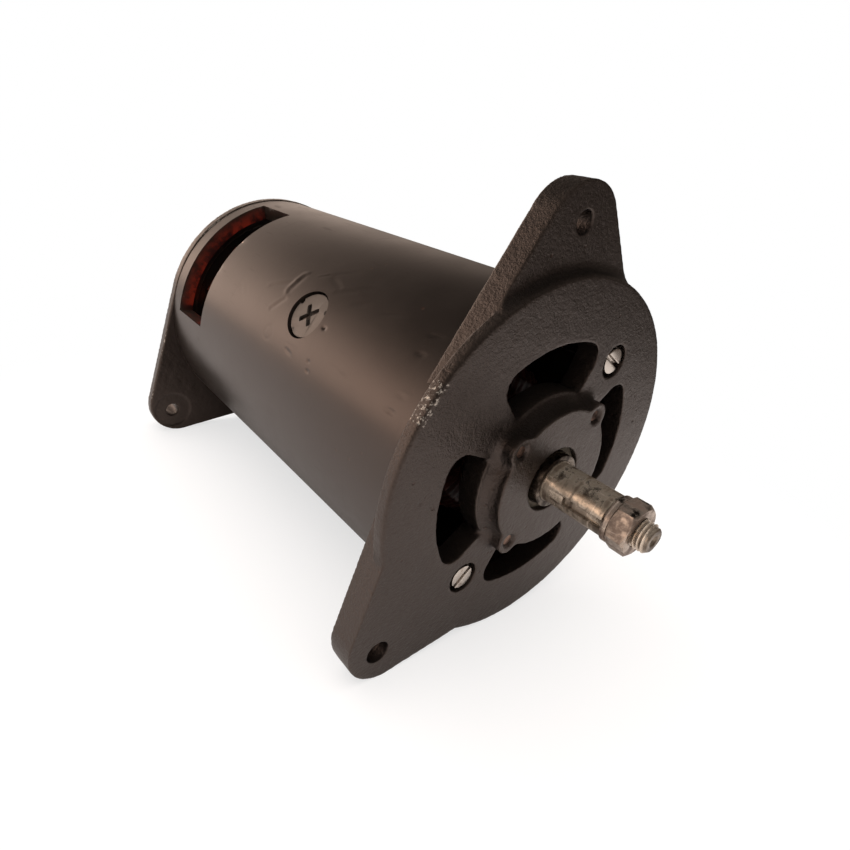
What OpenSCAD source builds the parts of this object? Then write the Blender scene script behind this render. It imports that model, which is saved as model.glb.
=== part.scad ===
// Belt-driven two-pole dynamo: steel yoke, two cast end brackets and a wound armature.
// The origin is on the shaft axis at the shoulder that a pulley seats against.
// The shaft points along -Y, and +Z is up as the machine lies on its rim and ears.
// "Depth" is measured from the front face of the drive-end bracket back into the machine.

/* [Yoke] */
// Outside diameter of the yoke tube
yoke_d = 114.3; // [112:0.1:120]
// Wall of the yoke tube
yoke_wall = 6.35; // [5:0.05:7]
// Length of the yoke tube
yoke_len = 183.5; // [178:0.5:200]
// Length of a brush window along the shaft
window_len = 26.5; // [24:0.5:28]
// Distance from the rear edge of a brush window to the rear end of the yoke
window_setback = 8.2; // [7:0.1:12]
// Angle that a brush window spans
window_span = 70.6; // [50:0.1:80]
// Direction of the upper brush window, seen from the front
window_dir = 140.2; // [135:0.1:146]

/* [Drive-end bracket] */
// Thickness of the rim that stands proud of the yoke
rim_t = 4.2; // [3.5:0.1:5]
// How far the rim stands proud of the yoke
rim_proud = 8.15; // [6:0.05:10]
// Rounding of the rim's front edge
rim_round = 1; // [0.5:0.1:1.5]
// Depth of the spigot that centres the bracket in the yoke
spigot_len = 4; // [3:0.1:6]
// Height of the bearing boss above the front face
boss_h = 6.15; // [5.5:0.05:7]
// Radius of the bearing boss between its lobes
boss_r = 25; // [24.5:0.1:26]
// Radius of each lobe round a rivet
lobe_r = 4.7; // [4.2:0.1:5]
// Fillet between the boss and the front face
boss_fillet = 3; // [2:0.1:3.5]
// Diameter of the hole in the front of the boss
boss_hole_d = 23.4; // [22.5:0.1:26]
// Inner radius of a ventilation window
vent_in_r = 28.6; // [28.2:0.1:30]
// Outer radius of a ventilation window
vent_out_r = 45; // [42:0.1:45.5]
// Angle that a ventilation window spans
vent_span = 62; // [50:1:66]
// Rounding of a ventilation window's outer corners
vent_round = 6; // [3:0.5:7]

/* [Mounting ears] */
// Distance from the shaft axis to each ear hole
ear_r = 79; // [77:0.5:84]
// Diameter of the hole in the lower front ear
ear_hole_d = 8.3; // [7:0.1:10]
// Diameter of the tapped hole in the upper ear
upper_hole_d = 6.8; // [6:0.1:8]
// Radius of the rounded tip of an ear
ear_tip_r = 16; // [14:0.5:18]
// How far a lower ear tip's centre lies inside the ear hole
ear_tip_offset = 5.8; // [4:0.1:8]
// How far the upper ear tip's centre lies inside the ear hole
upper_tip_offset = 4.8; // [4:0.1:8]
// Direction of the lower ears, seen from the front
lower_ear_dir = 222.5; // [215:0.5:230]
// Direction of the upper ear, seen from the front
upper_ear_dir = 95; // [88:0.5:100]
// Thickness of the lower front ear
lower_ear_t = 10; // [8:0.5:12]
// Thickness of the upper ear
upper_ear_t = 8.4; // [7:0.1:10]
// Fillet between the rim and the upper ear
ear_fillet = 2.8; // [2:0.1:3.4]
// Diameter of the spot face on the rear ear
spot_face_d = 19; // [16:0.5:21]
// Depth of the spot face
spot_face_depth = 0.5; // [0.3:0.1:1]
// Diameter of the tapped hole in the rear ear
rear_hole_d = 6.7; // [6:0.1:8]
// Diameter of the boss behind that hole
ear_boss_d = 17; // [15:0.5:20]
// Height of that boss
ear_boss_h = 8; // [6:0.5:10]

/* [Commutator-end bracket] */
// Thickness of the rear plate
plate_t = 4.7; // [4:0.1:6]
// How far the rear plate stands proud of the yoke
plate_proud = 0.4; // [0:0.1:1]
// Radius of the rear bearing boss
rear_boss_r = 15; // [14:0.5:18]
// Height of the rear boss behind the plate
rear_boss_h = 10; // [8:0.5:14]
// Height of the rear boss inside the plate
rear_boss_in = 5; // [4:0.1:5.6]
// Wall at the end of the rear boss
rear_cap_t = 2; // [1.5:0.1:3]
// Diameter of the oil hole
oil_hole_d = 3; // [2:0.1:4]
// Wall of the ring that centres the bracket in the yoke
spigot_wall = 4; // [3:0.1:5]

/* [Shaft and nut] */
// Diameter of the pulley seat
seat_d = 14.29; // [13:0.01:14.6]
// Length of the pulley seat
seat_len = 21.9; // [18:0.1:26]
// How far the pulley shoulder stands in front of the bracket's face
shoulder_proud = 7.5; // [6.5:0.1:9]
// Diameter of the shaft inside the distance collar
collar_seat_d = 15; // [14.7:0.1:16]
// Outside diameter of the distance collar
collar_d = 19; // [18:0.1:20]
// Outside diameter of the thread
thread_d = 9.525; // [8:0.005:10]
// Pitch of the thread
thread_pitch = 1.27; // [1:0.01:1.5]
// Length of the threaded end
thread_len = 12.7; // [11:0.1:16]
// Diameter of the centre hole in the shaft's end
centre_d = 4; // [2:0.1:5]
// Plain neck behind the thread
thread_neck = 0.8; // [0.4:0.1:1.5]
// Chamfer at the end of the pulley seat
seat_chamfer = 0.6; // [0.3:0.1:1]
// Nut size across the flats
nut_af = 15.24; // [14:0.01:16]
// Height of the nut
nut_h = 6.35; // [5:0.05:8]
// Angle of the chamfer on the nut's corners
nut_chamfer = 35; // [20:1:40]
// Turn of the nut on its thread
nut_turn = 12; // [0:1:59]
// Thickness of the spring washer
washer_t = 1.9; // [1.5:0.1:2.2]
// Outside diameter of the spring washer
washer_d = 15.6; // [14.5:0.1:17]
// Width of the split in the spring washer
washer_split = 0.9; // [0.5:0.1:1.5]
// Slant of that split
washer_slant = 25; // [0:1:35]
// Width of the keyway
key_w = 3.2; // [2.5:0.1:4]
// Depth of the keyway
key_depth = 1.7; // [1:0.1:2]
// Length of the keyway, open at the shoulder
key_len = 14; // [10:0.5:16]
// Direction of the keyway, seen from the front
key_dir = 186; // [0:1:359]
// Diameter of the shaft in the armature
shaft_d = 20; // [19:0.5:22]

/* [Bearings] */
// Bore of the ball bearing
bearing_bore = 17; // [16:0.5:18]
// Outside diameter of the ball bearing
bearing_od = 40; // [39:0.5:41]
// Width of the ball bearing
bearing_w = 12; // [11:0.5:13]
// Diameter of a ball
ball_d = 6.75; // [6:0.05:7]
// Number of balls
ball_count = 8; // [6:1:8]
// Radial thickness of each race at its edge
race_t = 3.2; // [3:0.1:3.4]
// Radial thickness of the ball cage
cage_t = 2; // [1.6:0.1:2.4]
// How far the ball cage stands past the balls on each side
cage_edge = 1.3; // [1:0.1:1.5]
// Thickness of the felt ring
felt_t = 2; // [1.5:0.1:2.4]
// Outside diameter of the felt ring
felt_d = 32; // [28:0.5:34]
// Wall of the boss in front of the felt ring
boss_wall = 2.15; // [1.8:0.05:2.6]
// Thickness of the bearing retainer
retainer_t = 1.6; // [1.2:0.1:2]
// Diameter of a rivet's shank
rivet_d = 3.2; // [2.5:0.1:3.5]
// Diameter of the hole that a rivet's front end sits in
rivet_sink_d = 4.6; // [4:0.1:5.2]
// Depth of that hole
rivet_sink = 1.6; // [1:0.1:2]
// Diameter of a rivet's formed end
rivet_end_d = 3.8; // [3.4:0.1:4.2]
// Height of a rivet's formed end
rivet_end_h = 0.6; // [0.4:0.1:0.9]
// Diameter of a rivet's head
rivet_head_d = 5.2; // [4.5:0.1:6]
// Height of a rivet's head
rivet_head_h = 1.2; // [0.8:0.1:2]
// Diameter of the shaft's rear journal
journal_d = 11.9; // [11:0.1:12.5]
// Outside diameter of the rear bush
bush_d = 19; // [17:0.5:21]
// Thickness of the oil felt
oil_felt_t = 1.5; // [1:0.1:2]

/* [Through bolts] */
// Diameter of a through bolt
bolt_d = 5; // [4:0.1:5.6]
// Diameter of a bolt's head
bolt_head_d = 9; // [8.6:0.1:10.4]
// Height of a bolt's head
bolt_head_h = 2.8; // [2.2:0.1:3]
// Diameter of the hole that the head sits in
bolt_sink_d = 11.8; // [11:0.1:12.4]
// Depth of that hole
bolt_sink = 3.2; // [3:0.1:3.8]
// Width of the slot in a bolt's head
bolt_slot_w = 1.5; // [1:0.1:2]
// Turn of the first bolt's slot
bolt_slot_turn = 95; // [0:1:180]
// Turn of the second bolt's slot
bolt_slot_turn_2 = 172; // [0:1:180]
// How far a bolt's end stands out of the rear plate
bolt_end = 1; // [0.5:0.1:3]
// Gap between a bolt's centre line and the bore of the yoke
bolt_inset = 6.65; // [6.4:0.05:7]
// Direction of the first through bolt, seen from the front
bolt_dir = 55.2; // [50:0.1:60]

/* [Field] */
// Depth of the pole screws behind the front face
pole_depth = 78.3; // [76:0.1:84]
// Length of a pole shoe
pole_len = 84; // [78:1:88]
// Half width of the pole under its coil
pole_half_w = 18; // [16:0.5:20]
// Angle that a pole face spans
pole_span = 112; // [100:1:120]
// Thickness of a pole tip
pole_tip_t = 5; // [4:0.1:6]
// Width of a field coil round the pole
coil_w = 12; // [8:0.5:13]
// Diameter of a pole screw's head
pole_head_d = 17.6; // [16:0.1:20]
// Height of a pole screw's head
pole_head_h = 4.2; // [3.6:0.1:4.4]
// Height of the straight edge of that head
pole_edge_h = 0.8; // [0.4:0.1:1.2]
// Diameter of a pole screw's shank
pole_screw_d = 10; // [8:0.1:11]
// Depth of the pole screw's head below the yoke's surface
pole_screw_sink = 1.2; // [0.9:0.05:1.3]
// Room round that head in the yoke
pole_head_room = 0.8; // [0.3:0.1:1.2]
// Length of a pole screw's thread in the pole shoe
pole_thread_len = 11; // [8:0.5:12]
// Width of the cross recess
cross_w = 2.2; // [1.6:0.1:3]
// Length of the cross recess
cross_len = 9.5; // [8:0.5:12]
// Turn of the cross recess
cross_turn = 41; // [0:1:89]

/* [Armature] */
// Diameter of the armature core
core_d = 62.4; // [60:0.1:64]
// Number of slots in the core
slot_count = 14; // [10:1:16]
// Width of a slot
slot_w = 5; // [4:0.1:5.6]
// Depth of a slot
slot_depth = 11; // [8:0.5:12]
// Gap between the rivet heads and the front end winding
winding_gap = 7.5; // [5:0.5:10]
// Bevel of the front end winding
winding_bevel = 5; // [2:0.5:7]
// Length of the rear end winding before it narrows
rear_winding_len = 8; // [5:0.5:12]
// How far the winding lies below the core's surface
winding_inset = 1.2; // [0.8:0.1:2]
// Diameter of the commutator
commutator_d = 40; // [38:0.1:41]
// Length of the commutator track
commutator_len = 26; // [24:0.5:27]
// Number of commutator bars
bar_count = 28; // [20:2:32]
// Height of the risers above the track
riser_h = 3; // [2:0.1:4]
// Length of the risers
riser_len = 3; // [2:0.1:4]
// Radial thickness of a commutator bar
bar_t = 7; // [5:0.1:7.5]
// Angle of the gap between two bars
bar_gap = 1.7; // [1:0.1:2.5]
// How far the commutator's hub stands behind its track
hub_end = 0.5; // [0.2:0.1:1]

/* [Brush gear] */
// Length of a brush along the shaft
brush_axial = 16; // [12:0.5:18]
// Thickness of a brush round the commutator
brush_t = 6.4; // [5:0.1:8]
// Radial length of a brush
brush_len = 16.7; // [15:0.1:18]
// Wall of a brush box
box_wall = 1.6; // [1.2:0.1:2]
// Radial height of a brush box
box_h = 10; // [8:0.5:11]
// Distance from a brush box to the commutator
box_stand = 4; // [3:0.1:5]
// Thickness of a brush box's foot
foot_t = 2; // [1.5:0.1:2.4]
// Thickness of the insulator under a foot
insulator_t = 1.7; // [1:0.1:2]
// Diameter of a foot's screws
box_screw_d = 3; // [2.5:0.1:3.5]
// Diameter of a foot screw's head
box_head_d = 5.4; // [4.5:0.1:6]
// Height of a foot screw's head
box_head_h = 1.8; // [1.2:0.1:2.2]
// Diameter of a spring post
post_d = 4; // [3:0.1:4.5]
// Width of a brush box's foot
foot_w = 24; // [22:0.5:26]
// Radial length of a brush box's foot
foot_len = 21; // [19:0.5:22]
// Distance between the rear boss and a foot
foot_gap = 3; // [2:0.1:3.5]
// Distance from a foot's inner edge out to its screws
foot_screw_in = 9; // [8:0.5:11]
// Distance between a foot's two screws
foot_screw_gap = 16.8; // [15:0.1:18]
// Margin of the insulator round a foot
insulator_edge = 1; // [0.5:0.1:1.5]
// Width of the tab that carries a spring post
tab_w = 10; // [8:0.5:11]
// Distance from a brush's centre line to its spring post
post_offset = 15.5; // [14.5:0.1:17]
// Distance from the commutator's surface out to the spring post
post_rise = 10; // [9:0.1:11]
// Width of a spring finger along the shaft
finger_w = 6; // [4:0.5:8]
// Thickness of a spring finger
finger_t = 1.8; // [1.2:0.1:2.2]
// Wall round the hole in a finger's hub
finger_wall = 2; // [1.5:0.1:2.5]
// Distance from the post's centre to the bend of a finger
finger_bend = 5; // [4:0.5:6]
// How far a spring post stands in front of its finger
post_end = 1.5; // [1:0.1:2.5]
// Width of a brush spring
spring_w = 7; // [5:0.5:8]
// Thickness of the spring strip
spring_t = 0.6; // [0.4:0.05:0.8]
// Gap between the turns of a brush spring
spring_gap = 0.75; // [0.5:0.05:0.9]
// Number of turns in a brush spring
spring_turns = 2.5; // [2:0.25:3]

/* [Terminals] */
// Distance from the shaft axis to each terminal stud
terminal_r = 37; // [36:0.5:39]
// Direction of the field terminal, seen from the front
terminal_dir = 174; // [170:1:180]
// Angle between the two terminals
terminal_gap = 32; // [28:1:36]
// Diameter of a terminal stud
stud_d = 4.8; // [4:0.1:5.2]
// Length of a stud behind the rear plate
stud_len = 15; // [14:0.5:18]
// Height of a stud's head inside the rear plate
stud_head_h = 3; // [2.5:0.1:4]
// Height of the terminal block behind the plate
block_h = 5; // [4:0.1:6]
// Size of a terminal nut across the flats
stud_nut_af = 8.2; // [7.5:0.1:9]
// Height of a terminal nut
stud_nut_h = 3.6; // [3:0.1:4.5]
// Diameter of the sleeved field lead
lead_d = 4; // [3:0.1:5]

/* [Clearances] */
// Clearance of pieces that are fixed together
fit_gap = 0.05; // [0.02:0.01:0.1]
// Radial clearance of a running shaft
run_gap = 0.03; // [0.01:0.01:0.08]
// Clearance between pieces that move past each other
free_gap = 0.3; // [0.25:0.05:0.5]
// Air gap between the armature core and the poles
air_gap = 0.55; // [0.4:0.05:0.9]
// Clearance of a brush in its box
slide_gap = 0.15; // [0.1:0.05:0.3]
// Clearance of a ball in its races
ball_gap = 0.2; // [0.15:0.05:0.3]

/* [Hidden] */
$fn = 96;
past = 1;                                     // overshoot of a cut past the face it opens
graze = 0.05;                                 // step that keeps blended faces from only grazing
yoke_r = yoke_d / 2;
yoke_in_r = yoke_r - yoke_wall;
yoke_back = rim_t + yoke_len;                 // depth of the yoke's rear end
plate_back = yoke_back + plate_t;
plate_r = yoke_r + plate_proud;
spigot_r = yoke_in_r - fit_gap;
spigot_in_r = spigot_r - spigot_wall;
rim_r = yoke_r + rim_proud;
window_back = yoke_back - window_setback;
window_front = window_back - window_len;
bracket_back = rim_t + spigot_len;            // depth of the front plate inside the yoke
pole_dir = bolt_dir + 90;
pole_dirs = [pole_dir, pole_dir + 180];
bolt_dirs = [bolt_dir, bolt_dir + 180];
bolt_r = yoke_in_r - bolt_inset;
lobe_dirs = [for (k = [0:3]) bolt_dir + 90 * k];
lobe_at = boss_r - 2 * graze;                 // distance from the axis to each lobe's centre
lobe_blend = 4;                               // concave rounding between a lobe and the boss
vent_dirs = [for (k = [0:3]) bolt_dir + 45 + 90 * k];
lower_tip_at = ear_r - ear_tip_offset;        // distance from the axis to an ear tip's centre
upper_tip_at = ear_r - upper_tip_offset;
ear_inner_r = yoke_r + free_gap;              // the front ears reach back over the yoke
upper_ear_depth = rim_t;
felt_front = boss_wall - boss_h;
bearing_front = felt_front + felt_t;
bearing_back = bearing_front + bearing_w;
retainer_back = bearing_back + retainer_t;
ball_pitch_r = (bearing_bore + bearing_od) / 4;
cage_w = ball_d + 2 * cage_edge;
collar_front = -shoulder_proud;
seat_front = collar_front - seat_len;
thread_front = seat_front - thread_len;
washer_back = seat_front;
nut_back = washer_back - washer_t;
thread_depth = 0.6 * thread_pitch;
journal_back = plate_back + rear_boss_h - rear_cap_t - oil_felt_t - free_gap;
boss_inner = yoke_back - rear_boss_in;        // depth of the rear boss's inner face
journal_front = boss_inner - 1;               // the journal reaches a little in front of its bush
bush_back = plate_back + rear_boss_h - rear_cap_t - oil_felt_t;
core_r = core_d / 2;
core_front = pole_depth - pole_len / 2;
core_back = pole_depth + pole_len / 2;
pole_bore_r = core_r + air_gap;
coil_in_r = pole_bore_r + pole_tip_t + fit_gap;
brush_depth = (window_front + window_back) / 2;
track_front = brush_depth - commutator_len / 2;
track_back = brush_depth + commutator_len / 2;
riser_front = track_front - riser_len;
commutator_r = commutator_d / 2;
bar_in_r = commutator_r - bar_t;
brush_in_r = commutator_r + free_gap;
brush_out_r = brush_in_r + brush_len;
box_in_r = commutator_r + box_stand;
box_out_r = box_in_r + box_h;
box_half_t = brush_t / 2 + slide_gap + box_wall;
box_half_axial = brush_axial / 2 + slide_gap + box_wall;
insulator_front = yoke_back - insulator_t;
foot_front = insulator_front - foot_t;
foot_in_r = rear_boss_r + foot_gap;
foot_out_r = foot_in_r + foot_len;
post_r = commutator_r + post_rise;
finger_in_r = brush_out_r + free_gap;
finger_hub_r = post_d / 2 + finger_wall;
finger_skew = 1;                              // shift of a finger's inner edge at its bends
finger_front = brush_depth - finger_w / 2;
spring_front = finger_front + finger_w + free_gap;
brush_dirs = [pole_dir, pole_dir + 180];
terminal_dirs = [terminal_dir, terminal_dir + terminal_gap];
stud_head_front = yoke_back - stud_head_h;
corner_steps = 6;                             // flats in a coil's rounded corner
spring_steps = 20;                            // flats in a turn of a brush spring
block_back = plate_back + block_h;

// Lay the machine down: the upright shaft turns to point along -Y.
module lay() rotate([90, 0, 0]) translate([0, 0, -shoulder_proud]) children();

// Extrude a flat outline between two depths.
module between(front, back) translate([0, 0, -back]) linear_extrude(back - front) children();

// Move a piece out from the axis in one direction.
module polar(dir, r) rotate([0, 0, dir]) translate([r, 0, 0]) children();

// Turn a piece drawn along +Z to point out from the axis at a depth.
module radial(dir, depth) rotate([0, 0, dir]) translate([0, 0, -depth]) rotate([0, 90, 0]) children();

module ring(outer, inner) difference() {
    circle(outer);
    circle(inner);
}

// Flat wedge from the axis out to a radius.
module wedge(dir, span, r) polygon(concat([[0, 0]],
    [for (k = [-2:2]) 1.2 * r * [cos(dir + k * span / 4), sin(dir + k * span / 4)]]));

// Part of a ring between two radii.
module sector(dir, span, outer, inner) intersection() {
    ring(outer, inner);
    wedge(dir, span, outer);
}

// Straight sides that run from just inside a round body to just inside an ear's round tip.
module ear(dir, root_r, tip_at) rotate(dir) {
    lean = acos((root_r - ear_tip_r) / tip_at);
    root = (root_r - graze) * [cos(lean), sin(lean)];
    tip = [tip_at, 0] + (ear_tip_r - graze) * [cos(lean), sin(lean)];
    translate([tip_at, 0]) circle(ear_tip_r);
    polygon([[0, 0], [root.x, -root.y], [tip.x, -tip.y], tip, root]);
}

// Web with concave sides that blends a lobe into the boss.
module lobe_web() {
    far = boss_r + lobe_blend;
    near = lobe_r + lobe_blend;
    x = (far * far - near * near + lobe_at * lobe_at) / (2 * lobe_at);
    y = sqrt(far * far - x * x);
    difference() {
        polygon([[-past, 0], [x, -y], [lobe_at + past / 3, 0], [x, y]]);
        for (side = [-1, 1]) translate([x, side * y]) circle(lobe_blend - graze);
    }
}

// Round boss with four lobes for the rivets.
module boss_outline() {
    circle(boss_r);
    for (dir = lobe_dirs) rotate(dir) {
        translate([lobe_at, 0]) circle(lobe_r);
        lobe_web();
    }
}

// Kidney-shaped ventilation window with rounded outer corners.
module vent(dir) {
    corner_r = vent_out_r - vent_round;
    inset = asin(vent_round / corner_r);
    tangent_r = corner_r * cos(inset);
    sector(dir, vent_span, tangent_r, vent_in_r);
    sector(dir, vent_span - 2 * inset, vent_out_r, vent_in_r);
    for (side = [-1, 1]) rotate(dir + side * (vent_span / 2 - inset)) translate([corner_r, 0])
        circle(vent_round + graze);
}

// Profile of a concave fillet in the corner at the origin, opening to +X and +Y.
// It sinks into both walls and leaves a small step, so that no face only grazes another.
module fillet_profile(r) difference() {
    translate([-past, -past]) square(r + past);
    translate([r + graze, r + graze]) circle(r);
}

// Hole or solid of a countersunk pole screw, drawn from its head's top face at height 0 downwards.
module pole_screw_form(extra, shank_len) {
    head_r = pole_head_d / 2 + extra;
    shank_r = pole_screw_d / 2 + extra;
    rotate_extrude() polygon([[0, 0], [head_r, 0], [head_r, -pole_edge_h], [shank_r, -pole_head_h],
        [shank_r, -pole_head_h - shank_len], [0, -pole_head_h - shank_len]]);
}

module yoke() color("#2d2926") lay() difference() {
    between(rim_t, yoke_back) ring(yoke_r, yoke_in_r);
    for (dir = [window_dir, window_dir + 180])
        between(window_front, window_back) wedge(dir, window_span, yoke_r);
    for (dir = pole_dirs) radial(dir, pole_depth) translate([0, 0, yoke_r - pole_screw_sink]) {
        pole_screw_form(fit_gap, yoke_wall);
        cylinder(h = pole_screw_sink + past, r = pole_head_d / 2 + pole_head_room);
    }
}

// Front disc with its edge eased by two flats.
module rim_disc() rotate_extrude() polygon([[0, -rim_t], [rim_r, -rim_t], [rim_r, -rim_round],
    [rim_r - 0.3 * rim_round, -0.3 * rim_round], [rim_r - rim_round, 0], [0, 0]]);

module drive_end_bracket() color("#2a2624") lay() difference() {
    union() {
        rim_disc();
        between(0, bracket_back) circle(spigot_r);
        between(-boss_h, bearing_back) boss_outline();
        rotate_extrude() translate([boss_r, 0]) fillet_profile(boss_fillet);
        between(0, lower_ear_t) difference() {
            ear(lower_ear_dir, yoke_r, lower_tip_at);
            circle(ear_inner_r);
        }
        between(upper_ear_depth, upper_ear_depth + upper_ear_t) difference() {
            ear(upper_ear_dir, yoke_r, upper_tip_at);
            circle(ear_inner_r);
        }
        intersection() {
            translate([0, 0, -upper_ear_depth]) rotate_extrude() translate([rim_r, 0])
                fillet_profile(ear_fillet);
            between(0, upper_ear_depth) ear(upper_ear_dir, yoke_r, upper_tip_at);
        }
    }
    for (dir = vent_dirs) between(-boss_h, bracket_back + past) vent(dir);
    between(-boss_h - past, bearing_back) circle(boss_hole_d / 2);
    between(felt_front, bearing_back) circle(felt_d / 2 + fit_gap);
    between(bearing_front, bearing_back + past) circle(bearing_od / 2);
    for (dir = lobe_dirs) polar(dir, lobe_at) {
        between(-boss_h - past, bearing_back + past) circle(rivet_d / 2 + fit_gap);
        between(-boss_h - past, rivet_sink - boss_h) circle(rivet_sink_d / 2);
    }
    for (dir = bolt_dirs) polar(dir, bolt_r) {
        between(-past, bracket_back + past) circle(bolt_d / 2 + fit_gap);
        between(-past, bolt_sink) circle(bolt_sink_d / 2);
    }
    polar(lower_ear_dir, ear_r) between(-past, lower_ear_t + past) circle(ear_hole_d / 2);
    polar(upper_ear_dir, ear_r) between(0, upper_ear_depth + upper_ear_t + past) circle(upper_hole_d / 2);
}

module commutator_end_bracket() color("#2a2624") lay() difference() {
    union() {
        between(yoke_back, plate_back) {
            circle(plate_r);
            ear(lower_ear_dir, plate_r, lower_tip_at);
        }
        between(yoke_back - spigot_len, yoke_back) ring(spigot_r, spigot_in_r);
        between(boss_inner, plate_back + rear_boss_h) circle(rear_boss_r);
        polar(lower_ear_dir, ear_r) between(yoke_back + spot_face_depth, plate_back + ear_boss_h)
            circle(ear_boss_d / 2);
    }
    between(boss_inner - past, bush_back) circle(bush_d / 2);
    between(bush_back - past, bush_back + oil_felt_t) circle(bush_d / 2);
    between(bush_back, plate_back + rear_boss_h + past) circle(oil_hole_d / 2);
    for (dir = bolt_dirs) polar(dir, bolt_r) between(yoke_back - spigot_len - past, plate_back + past)
        circle(bolt_d / 2 + fit_gap);
    for (dir = brush_dirs) foot_screw_places(dir) between(yoke_back - past, plate_back + past)
        circle(box_screw_d / 2 + fit_gap);
    for (dir = terminal_dirs) polar(dir, terminal_r) between(yoke_back - past, plate_back + past)
        circle(stud_d / 2 + fit_gap);
    polar(lower_ear_dir, ear_r) {
        between(yoke_back - past, plate_back + ear_boss_h + past) circle(rear_hole_d / 2);
        between(yoke_back - past, yoke_back + spot_face_depth) circle(spot_face_d / 2);
    }
}

// Slotted cheese-headed screw: head from front to seat, shank on to its end.
module slotted_screw(front, seat, back, head_d, shank_d, slot_w) difference() {
    union() {
        between(front, seat) circle(head_d / 2);
        between(seat, back) circle(shank_d / 2);
    }
    between(front - past, front + (seat - front) / 2) square([head_d + past, slot_w], center = true);
}

module through_bolts() color("#b9b4ab") lay() for (k = [0, 1]) polar(bolt_dirs[k], bolt_r)
    rotate([0, 0, [bolt_slot_turn, bolt_slot_turn_2][k]])
        slotted_screw(bolt_sink - bolt_head_h, bolt_sink, plate_back + bolt_end,
            bolt_head_d, bolt_d, bolt_slot_w);

module pole_screws() color("#3a3431") lay() for (dir = pole_dirs) radial(dir, pole_depth)
    translate([0, 0, yoke_r - pole_screw_sink]) difference() {
        pole_screw_form(0, pole_thread_len);
        for (turn = [cross_turn, cross_turn + 90]) rotate([0, 0, turn])
            cube([cross_len, cross_w, pole_head_h], center = true);
    }

module retainer_rivets() color("#6b5f57") lay() for (dir = lobe_dirs) polar(dir, lobe_at) {
    between(rivet_sink - boss_h, retainer_back) circle(rivet_d / 2);
    between(rivet_sink - boss_h - rivet_end_h, rivet_sink - boss_h) circle(rivet_end_d / 2);
    between(retainer_back, retainer_back + rivet_head_h) circle(rivet_head_d / 2);
}

// Outline of the threaded end, as ring grooves of the thread's pitch.
function thread_points() = [for (k = [0:floor(thread_len / thread_pitch) - 2], step = [0:2])
    [thread_d / 2 - (step == 1 ? thread_depth : 0),
     -seat_front + thread_neck + thread_pitch * (k + 0.45 * step)]];

module armature_shaft() color("#8f8577") lay() rotate([0, 0, key_dir]) difference() {
    rotate_extrude() {
        polygon(concat(
            [[0, -journal_back], [journal_d / 2, -journal_back], [journal_d / 2, -journal_front],
             [shaft_d / 2, -journal_front], [shaft_d / 2, -bearing_back],
             [bearing_bore / 2, -bearing_back], [bearing_bore / 2, -bearing_front],
             [collar_seat_d / 2, -bearing_front], [collar_seat_d / 2, -collar_front],
             [seat_d / 2, -collar_front], [seat_d / 2, -seat_front - seat_chamfer],
             [seat_d / 2 - seat_chamfer, -seat_front],
             [thread_d / 2 - thread_depth, -seat_front]],
            thread_points(),
            [[thread_d / 2 - thread_depth, -thread_front], [0, -thread_front]]));
    }
    translate([0, 0, -thread_front - centre_d])
        cylinder(h = centre_d + past, d1 = 0, d2 = centre_d + past);
    translate([seat_d / 2 - key_depth, -key_w / 2, -seat_front - key_len])
        cube([seat_d, key_w, key_len + past]);
}

module distance_collar() color("#79706a") lay() between(collar_front, bearing_front)
    ring(collar_d / 2, collar_seat_d / 2);

module spring_washer() color("#a19a90") lay() difference() {
    between(nut_back, washer_back) ring(washer_d / 2, thread_d / 2 + fit_gap);
    translate([washer_d / 4, 0, -(nut_back + washer_back) / 2]) rotate([washer_slant, 0, 0])
        cube([washer_d, washer_split, 3 * washer_t], center = true);
}

module pulley_nut() color("#a79c8d") lay() difference() {
    corner_r = nut_af / sqrt(3);
    chamfer_r = nut_af / 2 - graze;
    outer_r = corner_r + past;
    chamfer_h = tan(nut_chamfer) * (outer_r - chamfer_r);
    intersection() {
        between(nut_back - nut_h, nut_back) rotate(nut_turn) circle(corner_r, $fn = 6);
        translate([0, 0, -nut_back]) rotate_extrude() polygon([[0, 0], [chamfer_r, 0], [outer_r, chamfer_h],
            [outer_r, nut_h - chamfer_h], [chamfer_r, nut_h], [0, nut_h]]);
    }
    between(nut_back - nut_h - past, nut_back + past) circle(thread_d / 2 + fit_gap);
}

// Groove that the balls run in.
module ball_groove() translate([0, 0, -(bearing_front + bearing_back) / 2]) rotate_extrude()
    translate([ball_pitch_r, 0]) circle(ball_d / 2 + ball_gap);

module bearing_outer_race() color("#9a9a9a") lay() difference() {
    between(bearing_front, bearing_back) ring(bearing_od / 2, bearing_od / 2 - race_t);
    ball_groove();
}

module bearing_inner_race() color("#9a9a9a") lay() difference() {
    between(bearing_front, bearing_back) ring(bearing_bore / 2 + race_t, bearing_bore / 2);
    ball_groove();
}

module bearing_balls() color("#c8c8c8") lay() for (k = [0:ball_count - 1])
    polar(360 * (k + 0.5) / ball_count, ball_pitch_r) translate([0, 0, -(bearing_front + bearing_back) / 2])
        sphere(ball_d / 2);

module bearing_cage() color("#b08d57") lay() difference() {
    translate([0, 0, -(bearing_front + bearing_back) / 2]) linear_extrude(cage_w, center = true)
        ring(ball_pitch_r + cage_t / 2, ball_pitch_r - cage_t / 2);
    for (k = [0:ball_count - 1]) radial(360 * (k + 0.5) / ball_count, (bearing_front + bearing_back) / 2)
        translate([0, 0, bearing_bore / 2]) cylinder(h = bearing_od / 2, r = ball_d / 2 + ball_gap);
}

module bearing_retainer() color("#5d5853") lay() between(bearing_back, retainer_back) difference() {
    boss_outline();
    circle(bearing_od / 2 - race_t);
    for (dir = lobe_dirs) rotate(dir) translate([lobe_at, 0]) circle(rivet_d / 2 + fit_gap);
}

module felt_ring() color("#6e6a5e") lay() between(felt_front, bearing_front)
    ring(felt_d / 2, collar_d / 2 + free_gap);

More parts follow.
